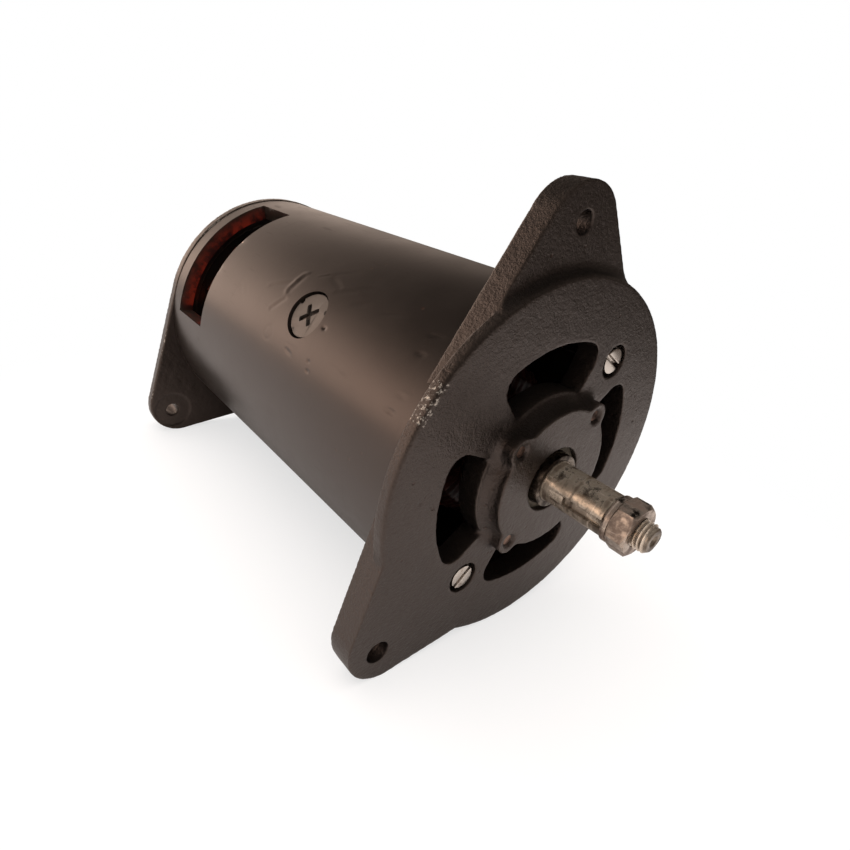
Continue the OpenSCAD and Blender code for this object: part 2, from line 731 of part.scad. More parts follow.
// Pole with a curved face, screwed to the inside of the yoke.
module pole_shoe(dir) lay() difference() {
    between(core_front, core_back) {
        sector(dir, pole_span, pole_bore_r + pole_tip_t, pole_bore_r);
        intersection() {
            ring(yoke_in_r - fit_gap, pole_bore_r);
            rotate(dir) translate([0, -pole_half_w]) square([yoke_r, 2 * pole_half_w]);
        }
    }
    screw_end_r = yoke_r - pole_screw_sink - pole_head_h - pole_thread_len - fit_gap;
    radial(dir, pole_depth) translate([0, 0, screw_end_r])
        cylinder(h = yoke_wall + pole_thread_len + past, r = pole_screw_d / 2 + fit_gap);
}
module pole_shoe_upper() color("#4a4643") pole_shoe(pole_dirs[0]);
module pole_shoe_lower() color("#4a4643") pole_shoe(pole_dirs[1]);

// Taped coil that is wound round a pole and bent to the yoke's curve.
module field_coil(dir) lay() intersection() {
    between(core_front - coil_w, core_back + coil_w) ring(yoke_in_r - free_gap, coil_in_r);
    rotate([0, 0, dir]) rotate([0, 90, 0]) translate([pole_depth, 0, 0]) linear_extrude(yoke_r) difference() {
        coil_loop(coil_w);
        coil_loop(fit_gap);
    }
}

// Rounded rectangle that lies a set distance outside the pole.
module coil_loop(out) polygon([for (corner = [[1, 1, 0], [-1, 1, 90], [-1, -1, 180], [1, -1, 270]],
    k = [0:corner_steps]) let (turn = corner[2] + 90 * k / corner_steps)
    [corner[0] * pole_len / 2, corner[1] * pole_half_w] + out * [cos(turn), sin(turn)]]);
module field_coil_upper() color("#5a2118") field_coil(pole_dirs[0]);
module field_coil_lower() color("#5a2118") field_coil(pole_dirs[1]);

// Slots of the armature, smaller by a clearance all round, and open at the rim.
module slots(inset) for (k = [0:slot_count - 1]) rotate(360 * k / slot_count)
    translate([core_r - slot_depth + inset, -slot_w / 2 + inset])
        square([slot_depth + past, slot_w - 2 * inset]);

module armature_core() color("#55504c") lay() between(core_front, core_back) difference() {
    ring(core_r, shaft_d / 2 + fit_gap);
    slots(0);
}

// End windings and the conductors that join them through the slots.
module armature_winding() color("#5e1c14") lay() {
    inner = shaft_d / 2 + fit_gap;
    outer = core_r - winding_inset;
    front_end = -(retainer_back + rivet_head_h + winding_gap);
    rotate_extrude() polygon([[inner, -core_front + fit_gap], [outer, -core_front + fit_gap],
        [outer, front_end - winding_bevel], [outer - winding_bevel, front_end], [inner, front_end]]);
    rotate_extrude() polygon([[inner, -core_back - fit_gap], [outer, -core_back - fit_gap],
        [outer, -core_back - rear_winding_len], [commutator_r + riser_h, -riser_front + fit_gap],
        [inner, -riser_front + fit_gap]]);
    intersection() {
        between(core_front - past, core_back + past) slots(2 * fit_gap);
        between(core_front - past, core_back + past) circle(outer);
    }
}

module commutator_bars() color("#a8683c") lay() for (k = [0:bar_count - 1])
    rotate([0, 0, 360 * k / bar_count]) rotate_extrude(angle = 360 / bar_count - bar_gap)
        polygon([[bar_in_r + fit_gap, -track_back], [commutator_r, -track_back],
            [commutator_r, -track_front], [commutator_r + riser_h, -track_front],
            [commutator_r + riser_h, -riser_front], [bar_in_r + fit_gap, -riser_front]]);

module commutator_hub() color("#4f3524") lay() between(riser_front, track_back + hub_end)
    ring(bar_in_r, shaft_d / 2 + fit_gap);

module rear_bush() color("#9c7a48") lay() between(boss_inner, bush_back)
    ring(bush_d / 2, journal_d / 2 + run_gap);

module oil_felt() color("#6e6a5e") lay() between(bush_back, bush_back + oil_felt_t) circle(bush_d / 2);

// Places of the two screws in a brush box's foot.
module foot_screw_places(dir) for (side = [-1, 1]) polar(dir, foot_in_r + foot_screw_in)
    translate([0, side * foot_screw_gap / 2, 0]) children();

// Place of the spring post beside a brush.
module post_place(dir) rotate([0, 0, dir]) translate([post_r, -post_offset, 0]) children();

// Outline across the shaft of a block that is centred on a brush.
module block(dir, inner, outer, low, high) rotate(dir) translate([inner, low])
    square([outer - inner, high - low]);

// Brush box with its arm and the foot that carries it and the spring post.
module brush_box(dir) lay() difference() {
    union() {
        between(brush_depth - box_half_axial, foot_front)
            block(dir, box_in_r, box_out_r, -box_half_t, box_half_t);
        between(foot_front, insulator_front) block(dir, foot_in_r, foot_out_r, -foot_w / 2, foot_w / 2);
        between(foot_front, insulator_front)
            block(dir, post_r - tab_w / 2, post_r + tab_w / 2, -post_offset - tab_w / 2, 0);
    }
    between(brush_depth - brush_axial / 2 - slide_gap, brush_depth + brush_axial / 2 + slide_gap)
        block(dir, 0, yoke_r, -brush_t / 2 - slide_gap, brush_t / 2 + slide_gap);
    foot_screw_places(dir) between(foot_front - past, insulator_front + past)
        circle(box_screw_d / 2 + fit_gap);
    post_place(dir) between(foot_front - past, insulator_front + past) circle(post_d / 2 + fit_gap);
}
module brush_box_upper() color("#a3884f") brush_box(brush_dirs[0]);
module brush_box_lower() color("#a3884f") brush_box(brush_dirs[1]);

module box_insulators() color("#6d3b22") lay() for (dir = brush_dirs) difference() {
    between(insulator_front, yoke_back) block(dir, foot_in_r - insulator_edge, foot_out_r + insulator_edge,
        -foot_w / 2 - insulator_edge, foot_w / 2 + insulator_edge);
    foot_screw_places(dir) between(insulator_front - past, yoke_back + past)
        circle(box_screw_d / 2 + fit_gap);
}

module box_screws() color("#b9b4ab") lay() for (dir = brush_dirs) foot_screw_places(dir)
    slotted_screw(foot_front - box_head_h, foot_front, plate_back, box_head_d, box_screw_d, box_screw_d / 4);

module brush(dir) lay() intersection() {
    between(brush_depth - brush_axial / 2, brush_depth + brush_axial / 2)
        block(dir, commutator_r - past, brush_out_r, -brush_t / 2, brush_t / 2);
    between(window_front - window_len, window_back + window_len) ring(yoke_r, brush_in_r);
}
module brush_upper() color("#2f2f31") brush(brush_dirs[0]);
module brush_lower() color("#2f2f31") brush(brush_dirs[1]);

// Finger that swings on its post and presses on the brush's outer end.
module spring_finger(dir) lay() rotate([0, 0, dir]) difference() {
    between(finger_front, finger_front + finger_w) {
        translate([post_r, -post_offset]) circle(finger_hub_r);
        polygon([[post_r, -post_offset - finger_hub_r], [post_r + finger_hub_r, -post_offset - finger_skew],
            [finger_in_r + finger_t, -post_offset + finger_bend], [finger_in_r + finger_t, brush_t / 2],
            [finger_in_r, brush_t / 2], [finger_in_r, -post_offset + finger_bend + finger_skew],
            [post_r + finger_hub_r - finger_t, -post_offset + finger_skew]]);
    }
    translate([post_r, -post_offset, 0]) between(finger_front - past, finger_front + finger_w + past)
        circle(post_d / 2 + run_gap);
}
module spring_finger_upper() color("#8d8d8f") spring_finger(brush_dirs[0]);
module spring_finger_lower() color("#8d8d8f") spring_finger(brush_dirs[1]);

module spring_posts() color("#9c8a5c") lay() for (dir = brush_dirs) post_place(dir)
    between(finger_front - post_end, insulator_front) circle(post_d / 2);

// Spiral strip round a post, its points worked out turn by turn.
function spiral(side) = [for (k = [0:spring_steps * spring_turns])
    (post_d / 2 + free_gap + side * spring_t + (spring_t + spring_gap) * k / spring_steps)
        * [cos(360 * k / spring_steps), sin(360 * k / spring_steps)]];
function reversed(list) = [for (k = [len(list) - 1:-1:0]) list[k]];

module brush_springs() color("#77787c") lay() for (dir = brush_dirs) post_place(dir)
    between(spring_front, spring_front + spring_w) polygon(concat(spiral(0), reversed(spiral(1))));

module field_lead() color("#8c2a18") lay() polar(terminal_dir, terminal_r)
    between(core_back + coil_w + fit_gap, stud_head_front) circle(lead_d / 2);

module terminal_block() color("#1d1a19") lay() between(plate_back, block_back) difference() {
    half_w = stud_nut_af - graze;
    union() {
        for (dir = terminal_dirs) rotate(dir) translate([terminal_r, 0]) circle(stud_nut_af);
        sector(terminal_dir + terminal_gap / 2, terminal_gap, terminal_r + half_w, terminal_r - half_w);
    }
    for (dir = terminal_dirs) rotate(dir) translate([terminal_r, 0]) circle(stud_d / 2 + fit_gap);
}

module terminal_studs() color("#b08d57") lay() for (dir = terminal_dirs) polar(dir, terminal_r) {
    between(stud_head_front, yoke_back) circle(stud_d);
    between(yoke_back, plate_back + stud_len) circle(stud_d / 2);
}

module terminal_nuts() color("#b08d57") lay() for (dir = terminal_dirs) polar(dir, terminal_r)
    between(block_back, block_back + stud_nut_h) difference() {
        circle(stud_nut_af / sqrt(3), $fn = 6);
        circle(stud_d / 2 + fit_gap);
    }

yoke();
drive_end_bracket();
commutator_end_bracket();
through_bolts();
pole_screws();
retainer_rivets();
armature_shaft();
distance_collar();
spring_washer();
pulley_nut();
bearing_outer_race();
bearing_inner_race();
bearing_balls();
bearing_cage();
bearing_retainer();
felt_ring();
pole_shoe_upper();
pole_shoe_lower();
field_coil_upper();
field_coil_lower();
armature_core();
armature_winding();
commutator_bars();
commutator_hub();
rear_bush();
oil_felt();
brush_box_upper();
brush_box_lower();
box_insulators();
box_screws();
brush_upper();
brush_lower();
spring_finger_upper();
spring_finger_lower();
spring_posts();
brush_springs();
field_lead();
terminal_block();
terminal_studs();
terminal_nuts();
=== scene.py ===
"""Looks of a belt-driven dynamo, dressed over its packed construction in the same frame."""
import logging
import math
from dataclasses import dataclass
from enum import Enum
from functools import reduce
from typing import Callable, Optional, Sequence

import bpy
import numpy as np
from mathutils import Euler, Matrix, Vector


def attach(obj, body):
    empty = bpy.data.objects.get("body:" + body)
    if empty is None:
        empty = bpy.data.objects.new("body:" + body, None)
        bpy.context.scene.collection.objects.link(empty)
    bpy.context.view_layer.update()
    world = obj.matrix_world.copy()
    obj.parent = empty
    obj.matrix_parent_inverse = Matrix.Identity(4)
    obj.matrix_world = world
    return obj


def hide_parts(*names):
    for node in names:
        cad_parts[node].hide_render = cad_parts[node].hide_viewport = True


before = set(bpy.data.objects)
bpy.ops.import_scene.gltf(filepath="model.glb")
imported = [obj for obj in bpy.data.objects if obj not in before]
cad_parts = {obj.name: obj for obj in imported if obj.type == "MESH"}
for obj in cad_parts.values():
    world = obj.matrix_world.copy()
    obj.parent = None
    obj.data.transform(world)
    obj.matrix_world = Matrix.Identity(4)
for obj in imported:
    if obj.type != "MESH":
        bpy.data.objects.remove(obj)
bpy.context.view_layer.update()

MM = 0.001
Colour = tuple[float, float, float]
Steps = tuple[tuple[float, float], ...]
Obj = bpy.types.Object
Tree = bpy.types.NodeTree
Socket = bpy.types.NodeSocket
Material = bpy.types.Material
log = logging.getLogger("dynamo")


class Axis(Enum):
    """Direction that a finish's tool marks run round or along."""

    SHAFT = "shaft"
    NONE = "none"


def polar(angle: float, radius: float, depth: float) -> Vector:
    """Gives a point in metres from its angle in degrees, radius and depth in mm."""
    turn = math.radians(angle)
    return Vector((radius * math.cos(turn), depth, radius * math.sin(turn))) * MM


def outward(angle: float) -> Vector:
    """Gives the direction straight out from the shaft at an angle in degrees."""
    return polar(angle, 1.0 / MM, 0.0).normalized()


def about_shaft(pts: np.ndarray) -> tuple[np.ndarray, np.ndarray]:
    """Gives each point's angle about the shaft, from 0 to 360 degrees, and its radius."""
    turn = np.degrees(np.arctan2(pts[:, 2], pts[:, 0])) % 360.0
    return turn, np.hypot(pts[:, 0], pts[:, 2])


def unit(values: np.ndarray) -> np.ndarray:
    """Keeps values between 0 and 1."""
    return np.clip(values, 0.0, 1.0)


def bell(distance: np.ndarray, width: float) -> np.ndarray:
    """Falls softly from 1 at no distance to about a third at the width."""
    return np.exp(-((distance / width) ** 2))


class Bench:
    """Modelling steps that every piece shares."""

    @staticmethod
    def clear() -> None:
        """Goes to object mode and deselects everything."""
        if bpy.context.object and bpy.context.object.mode != "OBJECT":
            Bench.done()
        bpy.ops.object.select_all(action="DESELECT")

    @staticmethod
    def take(obj: Obj) -> None:
        """Leaves only one object selected and active, in object mode."""
        Bench.clear()
        obj.select_set(True)
        bpy.context.view_layer.objects.active = obj

    @staticmethod
    def settle(obj: Obj) -> None:
        """Puts an object's place, turn and scale into its mesh."""
        Bench.take(obj)
        bpy.ops.object.transform_apply(location=True, rotation=True, scale=True)

    @staticmethod
    def edit(obj: Obj, select: str = "SELECT") -> None:
        """Opens an object in edit mode with all or nothing selected."""
        Bench.take(obj)
        bpy.ops.object.mode_set(mode="EDIT")
        bpy.ops.mesh.select_all(action=select)

    @staticmethod
    def pick(obj: Obj, kind: str, chosen: np.ndarray) -> None:
        """Opens an object in edit mode with only some edges or faces selected.

        Args:
            obj: the piece.
            kind: EDGE or FACE.
            chosen: true for each edge or face that is selected.
        """
        Bench.edit(obj, "DESELECT")
        bpy.ops.mesh.select_mode(type=kind)
        Bench.done()
        layer = obj.data.edges if kind == "EDGE" else obj.data.polygons
        layer.foreach_set("select", chosen)
        bpy.ops.object.mode_set(mode="EDIT")

    @staticmethod
    def done() -> None:
        """Goes back to object mode."""
        bpy.ops.object.mode_set(mode="OBJECT")

    @staticmethod
    def copy_node(node: str, name: str) -> Obj:
        """Copies a CAD node's mesh into a new object and merges its loose triangles.

        Args:
            node: name of the CAD node.
            name: name of the new piece.
        Returns:
            The new object, with no material.
        """
        obj = bpy.data.objects.new(name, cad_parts[node].data.copy())
        bpy.context.scene.collection.objects.link(obj)
        obj.data.materials.clear()
        Bench.edit(obj)
        bpy.ops.mesh.remove_doubles(threshold=2e-6)
        Bench.done()
        if obj.data.has_custom_normals:
            bpy.ops.mesh.customdata_custom_splitnormals_clear()
        return obj

    @staticmethod
    def modify(obj: Obj, kind: str, **values: object) -> None:
        """Adds a modifier with the given values and applies it.

        Args:
            obj: the piece.
            kind: the modifier's type.
            values: its settings.
        """
        Bench.take(obj)
        mod = obj.modifiers.new(kind.lower(), kind)
        for key, value in values.items():
            setattr(mod, key, value)
        bpy.ops.object.modifier_apply(modifier=mod.name)

    @staticmethod
    def planar(obj: Obj, degrees: float = 0.5) -> None:
        """Joins a merged copy's flat triangles into whole faces."""
        Bench.edit(obj)
        bpy.ops.mesh.dissolve_limited(angle_limit=math.radians(degrees))
        Bench.done()

    @staticmethod
    def remesh(obj: Obj, voxel: float, soften: int) -> None:
        """Rebuilds a mesh from even cells, with their size in mm, and softens it."""
        Bench.take(obj)
        obj.data.remesh_voxel_size = voxel * MM
        obj.data.remesh_voxel_adaptivity = 0.0
        bpy.ops.object.voxel_remesh()
        Bench.modify(obj, "SMOOTH", factor=0.5, iterations=soften)

    @staticmethod
    def round_edges(obj: Obj, width: float, angle: float = 32.0) -> None:
        """Bevels every edge sharper than an angle, with the width in mm."""
        Bench.modify(obj, "BEVEL", width=width * MM, segments=2, limit_method="ANGLE",
                     angle_limit=math.radians(angle), use_clamp_overlap=True)

    @staticmethod
    def smooth(obj: Obj, angle: float) -> None:
        """Shades a piece smooth up to an edge angle in degrees."""
        Bench.take(obj)
        bpy.ops.object.shade_smooth_by_angle(angle=math.radians(angle))

    @staticmethod
    def rounded_copy(node: str, name: str, width: float, angle: float) -> Obj:
        """Copies a CAD node and rounds its edges.

        Args:
            node: name of the CAD node.
            name: name of the new piece.
            width: width of the rounding in mm.
            angle: edges sharper than this many degrees are rounded.
        Returns:
            The new piece.
        """
        piece = Bench.copy_node(node, name)
        Bench.planar(piece)
        Bench.round_edges(piece, width, angle)
        Bench.smooth(piece, angle=30.0)
        return piece

    @staticmethod
    def points(obj: Obj) -> np.ndarray:
        """Reads a mesh's points in mm."""
        co = np.empty(len(obj.data.vertices) * 3)
        obj.data.vertices.foreach_get("co", co)
        return co.reshape(-1, 3) / MM

    @staticmethod
    def put(obj: Obj, pts: np.ndarray) -> None:
        """Writes a mesh's points from mm."""
        obj.data.vertices.foreach_set("co", (pts * MM).ravel())
        obj.data.update()

    @staticmethod
    def normals(obj: Obj) -> np.ndarray:
        """Reads a mesh's point normals."""
        out = np.empty(len(obj.data.vertices) * 3)
        obj.data.vertices.foreach_get("normal", out)
        return out.reshape(-1, 3)

    @staticmethod
    def middles(obj: Obj) -> np.ndarray:
        """Reads the middle of each face in mm."""
        return np.array([face.center[:] for face in obj.data.polygons]) / MM

    @staticmethod
    def push(obj: Obj, move: np.ndarray) -> None:
        """Moves each point along its normal, in mm."""
        Bench.put(obj, Bench.points(obj) + Bench.normals(obj) * move[:, None])

    @staticmethod
    def mask(obj: Obj, name: str, values: np.ndarray) -> None:
        """Stores one value per point as an attribute that a material reads."""
        layer = obj.data.attributes.get(name) or obj.data.attributes.new(name, "FLOAT", "POINT")
        layer.data.foreach_set("value", unit(values).astype(np.float32))

    @staticmethod
    def read_mask(obj: Obj, name: str) -> np.ndarray:
        """Reads a stored mask."""
        values = np.empty(len(obj.data.vertices), dtype=np.float32)
        obj.data.attributes[name].data.foreach_get("value", values)
        return values

    @staticmethod
    def spread(obj: Obj, values: np.ndarray, rounds: int) -> np.ndarray:
        """Averages values over neighbouring points.

        Args:
            obj: the piece.
            values: one row per point.
            rounds: how often neighbours are averaged.
        Returns:
            The smoothed rows.
        """
        ends = np.empty(len(obj.data.edges) * 2, dtype=np.int64)
        obj.data.edges.foreach_get("vertices", ends)
        a, b = ends[0::2], ends[1::2]
        count = len(values)
        degree = np.maximum(np.bincount(a, minlength=count) + np.bincount(b, minlength=count), 1)
        out = values.astype(float).copy()
        for _ in range(rounds):
            total = np.stack([np.bincount(a, out[b, k], count) + np.bincount(b, out[a, k], count)
                              for k in range(out.shape[1])], axis=1)
            out = 0.5 * out + 0.5 * total / degree[:, None]
        return out

    @staticmethod
    def standing(obj: Obj, soft: np.ndarray) -> np.ndarray:
        """Gives how far in mm each point stands off its softened place."""
        return ((Bench.points(obj) - soft) * Bench.normals(obj)).sum(axis=1)

    @staticmethod
    def wear_masks(obj: Obj, rounds: int, reach: float) -> None:
        """Finds standing edges and hollows and stores them as the masks edge and nook.

        Args:
            obj: the piece, with points spaced evenly.
            rounds: smoothing rounds that set how wide an edge counts.
            reach: how far in mm a point stands off its surroundings at full mask.
        """
        stand = Bench.standing(obj, Bench.spread(obj, Bench.points(obj), rounds))
        Bench.mask(obj, "edge", stand / reach)
        Bench.mask(obj, "nook", -stand / reach)

    @staticmethod
    def cut(obj: Obj, cutter: Obj) -> None:
        """Takes one shape out of another and removes the cutter."""
        Bench.modify(obj, "BOOLEAN", operation="DIFFERENCE", solver="EXACT", object=cutter)
        bpy.data.objects.remove(cutter)

    @staticmethod
    def rod(name: str, base: Vector, axis: Vector, profile: Steps, sides: int) -> Obj:
        """Turns a closed round bar from a list of steps.

        Args:
            name: name of the new object.
            base: where step 0 lies, in metres.
            axis: direction of the bar.
            profile: distance and radius of each step, in mm.
            sides: faces round the bar.
        Returns:
            The bar, with its place in its mesh.
        """
        start, radius = profile[0]
        Bench.clear()
        bpy.ops.mesh.primitive_circle_add(vertices=sides, radius=radius * MM, fill_type="NGON",
                                          location=(0, 0, start * MM))
        obj = bpy.context.object
        obj.name = name
        Bench.settle(obj)
        Bench.edit(obj)
        bpy.ops.mesh.flip_normals()
        for (z0, r0), (z1, r1) in zip(profile, profile[1:]):
            bpy.ops.mesh.extrude_region_move(TRANSFORM_OT_translate={"value": (0, 0, (z1 - z0) * MM)})
            bpy.ops.transform.resize(value=(r1 / r0, r1 / r0, 1), center_override=(0, 0, z1 * MM))
        bpy.ops.mesh.select_all(action="SELECT")
        bpy.ops.mesh.normals_make_consistent(inside=False)
        Bench.done()
        obj.rotation_euler = axis.to_track_quat("Z", "Y").to_euler()
        obj.location = base
        Bench.settle(obj)
        return obj

    @staticmethod
    def box(way: Vector, side: Vector, up: Vector, place: Vector, size: Sequence[float]) -> Obj:
        """Makes a box from its three directions, its place in metres and its size in mm."""
        Bench.clear()
        bpy.ops.mesh.primitive_cube_add(size=1.0)
        obj = bpy.context.object
        columns = [axis.normalized() * length * MM for axis, length in zip((way, side, up), size)]
        matrix = Matrix(columns).transposed().to_4x4()
        matrix.translation = place
        obj.matrix_world = matrix
        Bench.settle(obj)
        return obj

    @staticmethod
    def join(first: Obj, *others: Obj) -> Obj:
        """Joins other objects into the first."""
        Bench.take(first)
        for other in others:
            other.select_set(True)
        bpy.ops.object.join()
        return first

    @staticmethod
    def fit(obj: Obj, node: str, body: str, slot: str, finish: Material) -> None:
        """Dresses a finished piece and puts it on its body in place of its CAD node.

        Args:
            obj: the piece.
            node: CAD node that it stands for.
            body: body that it rides on.
            slot: the record's material slot; not used.
            finish: its material.
        """
        obj.data.materials.clear()
        obj.data.materials.append(finish)
        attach(obj, body)
        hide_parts(node)
        log.info("%s: %d faces, stands for %s", obj.name, len(obj.data.polygons), node)


class Graph:
    """A shader node tree with short ways to add the sums and patterns that finishes use."""

    def __init__(self, tree: Tree) -> None:
        """Takes the tree that nodes are added to."""
        self.tree = tree

    def add(self, kind: str) -> bpy.types.Node:
        """Adds a node of a kind."""
        return self.tree.nodes.new(kind)

    def link(self, source: Socket, target: Socket) -> None:
        """Links an output to an input."""
        self.tree.links.new(source, target)

    def give(self, value: object, target: Socket) -> None:
        """Links a socket, or sets a number or a colour, on an input."""
        if isinstance(value, Socket):
            self.link(value, target)
        elif isinstance(value, tuple):
            target.default_value = (*value, 1.0)
        else:
            target.default_value = value

    def reckon(self, kind: str, first: object, second: object, clamp: bool = False) -> Socket:
        """Adds one sum.

        Args:
            kind: the operation.
            first: a socket or a number.
            second: a socket or a number.
            clamp: keep the answer between 0 and 1.
        Returns:
            The answer's socket.
        """
        node = self.add("ShaderNodeMath")
        node.operation = kind
        node.use_clamp = clamp
        self.give(first, node.inputs[0])
        self.give(second, node.inputs[1])
        return node.outputs[0]

    def times(self, first: object, second: object, clamp: bool = False) -> Socket:
        """Multiplies two values."""
        return self.reckon("MULTIPLY", first, second, clamp)

    def plus(self, first: object, second: object) -> Socket:
        """Adds two values."""
        return self.reckon("ADD", first, second)

    def less(self, first: object, second: object) -> Socket:
        """Takes the second value from the first."""
        return self.reckon("SUBTRACT", first, second)

    def larger(self, first: object, second: object) -> Socket:
        """Gives the larger of two values."""
        return self.reckon("MAXIMUM", first, second)

    def noise(self, vector: Socket, scale: float, detail: float, rough: float = 0.55) -> Socket:
        """Adds a noise pattern and gives its value."""
        node = self.add("ShaderNodeTexNoise")
        node.inputs["Scale"].default_value = scale
        node.inputs["Detail"].default_value = detail
        node.inputs["Roughness"].default_value = rough
        self.link(vector, node.inputs["Vector"])
        return node.outputs["Fac"]

    def mapped(self, vector: Socket, stretch: Colour, turn: Colour = (0.0, 0.0, 0.0)) -> Socket:
        """Turns and stretches the coordinates that a pattern lies on."""
        node = self.add("ShaderNodeMapping")
        node.inputs["Rotation"].default_value = turn
        node.inputs["Scale"].default_value = stretch
        self.link(vector, node.inputs["Vector"])
        return node.outputs["Vector"]

    def ramp(self, value: Socket, low: float, high: float) -> Socket:
        """Maps a value from a low and high mark to 0 and 1, softly."""
        node = self.add("ShaderNodeMapRange")
        node.interpolation_type = "SMOOTHSTEP"
        node.inputs["From Min"].default_value = low
        node.inputs["From Max"].default_value = high
        self.link(value, node.inputs["Value"])
        return node.outputs["Result"]

    def blend(self, share: Socket, first: object, second: object) -> Socket:
        """Mixes two colours, each a socket or a colour, by a share."""
        node = self.add("ShaderNodeMix")
        node.data_type = "RGBA"
        for slot, value in ((0, share), (6, first), (7, second)):
            self.give(value, node.inputs[slot])
        return node.outputs[2]

    def attribute(self, name: str) -> Socket:
        """Reads one of a piece's stored masks."""
        node = self.add("ShaderNodeAttribute")
        node.attribute_name = name
        return node.outputs["Fac"]

    def part(self, vector: Socket, name: str) -> Socket:
        """Takes the X, Y or Z of a vector."""
        node = self.add("ShaderNodeSeparateXYZ")
        self.link(vector, node.inputs[0])
        return node.outputs[name]

    def measure(self, kind: str, vector: Socket, other: Colour) -> Socket:
        """Measures a vector against a fixed one, by distance or dot product."""
        node = self.add("ShaderNodeVectorMath")
        node.operation = kind
        node.inputs[1].default_value = other
        self.link(vector, node.inputs[0])
        return node.outputs["Value"]

    def mix(self, share: Socket, first: bpy.types.Node, second: bpy.types.Node) -> bpy.types.Node:
        """Mixes two shaders by a share."""
        node = self.add("ShaderNodeMixShader")
        for slot, value in enumerate((share, first.outputs[0], second.outputs[0])):
            self.link(value, node.inputs[slot])
        return node

    def glow(self, kind: str, colour: Colour, strength: object) -> bpy.types.Node:
        """Adds an emission or background shader of a colour and strength."""
        node = self.add(kind)
        self.give(colour, node.inputs["Color"])
        self.give(strength, node.inputs["Strength"])
        return node


class Effects:
    """Shader node groups that several finishes use."""

    @staticmethod
    def _start(name: str, outputs: Sequence[str], **inputs: float) -> tuple:
        """Opens a new node group that takes a vector.

        Args:
            name: name of the group.
            outputs: name of each value that it gives.
            inputs: further numbers that it takes, with their defaults.
        Returns:
            The graph, the values given to it and the inputs of its result.
        """
        tree = bpy.data.node_groups.new(name, "ShaderNodeTree")
        tree.interface.new_socket("Vector", in_out="INPUT", socket_type="NodeSocketVector")
        for label, value in inputs.items():
            made = tree.interface.new_socket(label, in_out="INPUT", socket_type="NodeSocketFloat")
            made.default_value = value
        for label in outputs:
            tree.interface.new_socket(label, in_out="OUTPUT", socket_type="NodeSocketFloat")
        g = Graph(tree)
        return g, g.add("NodeGroupInput").outputs, g.add("NodeGroupOutput").inputs

    @staticmethod
    def cast_grain() -> Tree:
        """Builds the height of a painted casting's sandy skin, and its pits."""
        g, given, result = Effects._start("cast grain", ("Height", "Pits"), Coarse=0.5)
        place = given["Vector"]
        fine = g.noise(place, scale=2600.0, detail=2.0, rough=0.6)
        sand = g.noise(place, scale=1150.0, detail=3.0, rough=0.62)
        lump = g.noise(place, scale=170.0, detail=2.0)
        cells = g.add("ShaderNodeTexVoronoi")
        cells.inputs["Scale"].default_value = 210.0
        g.link(place, cells.inputs["Vector"])
        rare = g.ramp(g.noise(place, scale=46.0, detail=1.0), low=0.56, high=0.66)
        pits = g.times(g.ramp(cells.outputs["Distance"], low=0.17, high=0.06), rare)
        height = g.plus(g.times(sand, given["Coarse"]), g.times(fine, 0.3))
        height = g.plus(height, g.times(lump, 0.6))
        g.link(g.less(height, g.times(pits, 0.9)), result["Height"])
        g.link(pits, result["Pits"])
        return g.tree

    @staticmethod
    def edge_wear() -> Tree:
        """Builds the mask of paint that is rubbed off standing edges or chipped away."""
        g, given, result = Effects._start("edge wear", ("Mask", "Thin"), Amount=0.5)
        place = given["Vector"]
        edge = g.attribute("edge")
        speck = g.noise(place, scale=900.0, detail=3.0, rough=0.7)
        patch = g.noise(place, scale=60.0, detail=2.0)
        level = g.plus(g.times(edge, g.plus(patch, given["Amount"])), g.times(speck, 0.55))
        rubbed = g.ramp(level, low=0.98, high=1.2)
        chipped = g.ramp(g.plus(g.attribute("bare"), g.times(speck, 0.8)), low=0.98, high=1.1)
        g.link(g.larger(rubbed, chipped), result["Mask"])
        g.link(g.times(edge, g.plus(patch, 0.2), clamp=True), result["Thin"])
        return g.tree

    @staticmethod
    def rubbing() -> Tree:
        """Builds fine handling scratches that run in several directions."""
        g, given, result = Effects._start("rubbing", ("Mask",))
        directions = (
            ((0.3, 0.2, 0.9), (40, 900, 40)),
            ((1.1, 0.5, 0.2), (900, 60, 60)),
            ((0.2, 1.0, 2.0), (60, 60, 800)),
        )
        lines = []
        for turn, stretch in directions:
            streak = g.noise(g.mapped(given["Vector"], stretch, turn), scale=1.0, detail=2.0)
            lines.append(g.ramp(streak, low=0.66, high=0.74))
        g.link(reduce(g.larger, lines), result["Mask"])
        return g.tree

    @staticmethod
    def turned() -> Tree:
        """Builds lathe rings along the shaft and the brown film between them."""
        g, given, result = Effects._start("turned", ("Rings", "Film"))
        line = g.add("ShaderNodeCombineXYZ")
        g.link(g.part(given["Vector"], "Y"), line.inputs["Y"])
        along = line.outputs[0]
        broad = g.noise(along, scale=330.0, detail=2.0)
        blot = g.noise(given["Vector"], scale=130.0, detail=4.0, rough=0.65)
        film = g.ramp(g.plus(g.times(broad, 0.5), g.times(blot, 0.6)), low=0.46, high=0.66)
        g.link(g.noise(along, scale=2600.0, detail=3.0, rough=0.7), result["Rings"])
        g.link(film, result["Film"])
        return g.tree


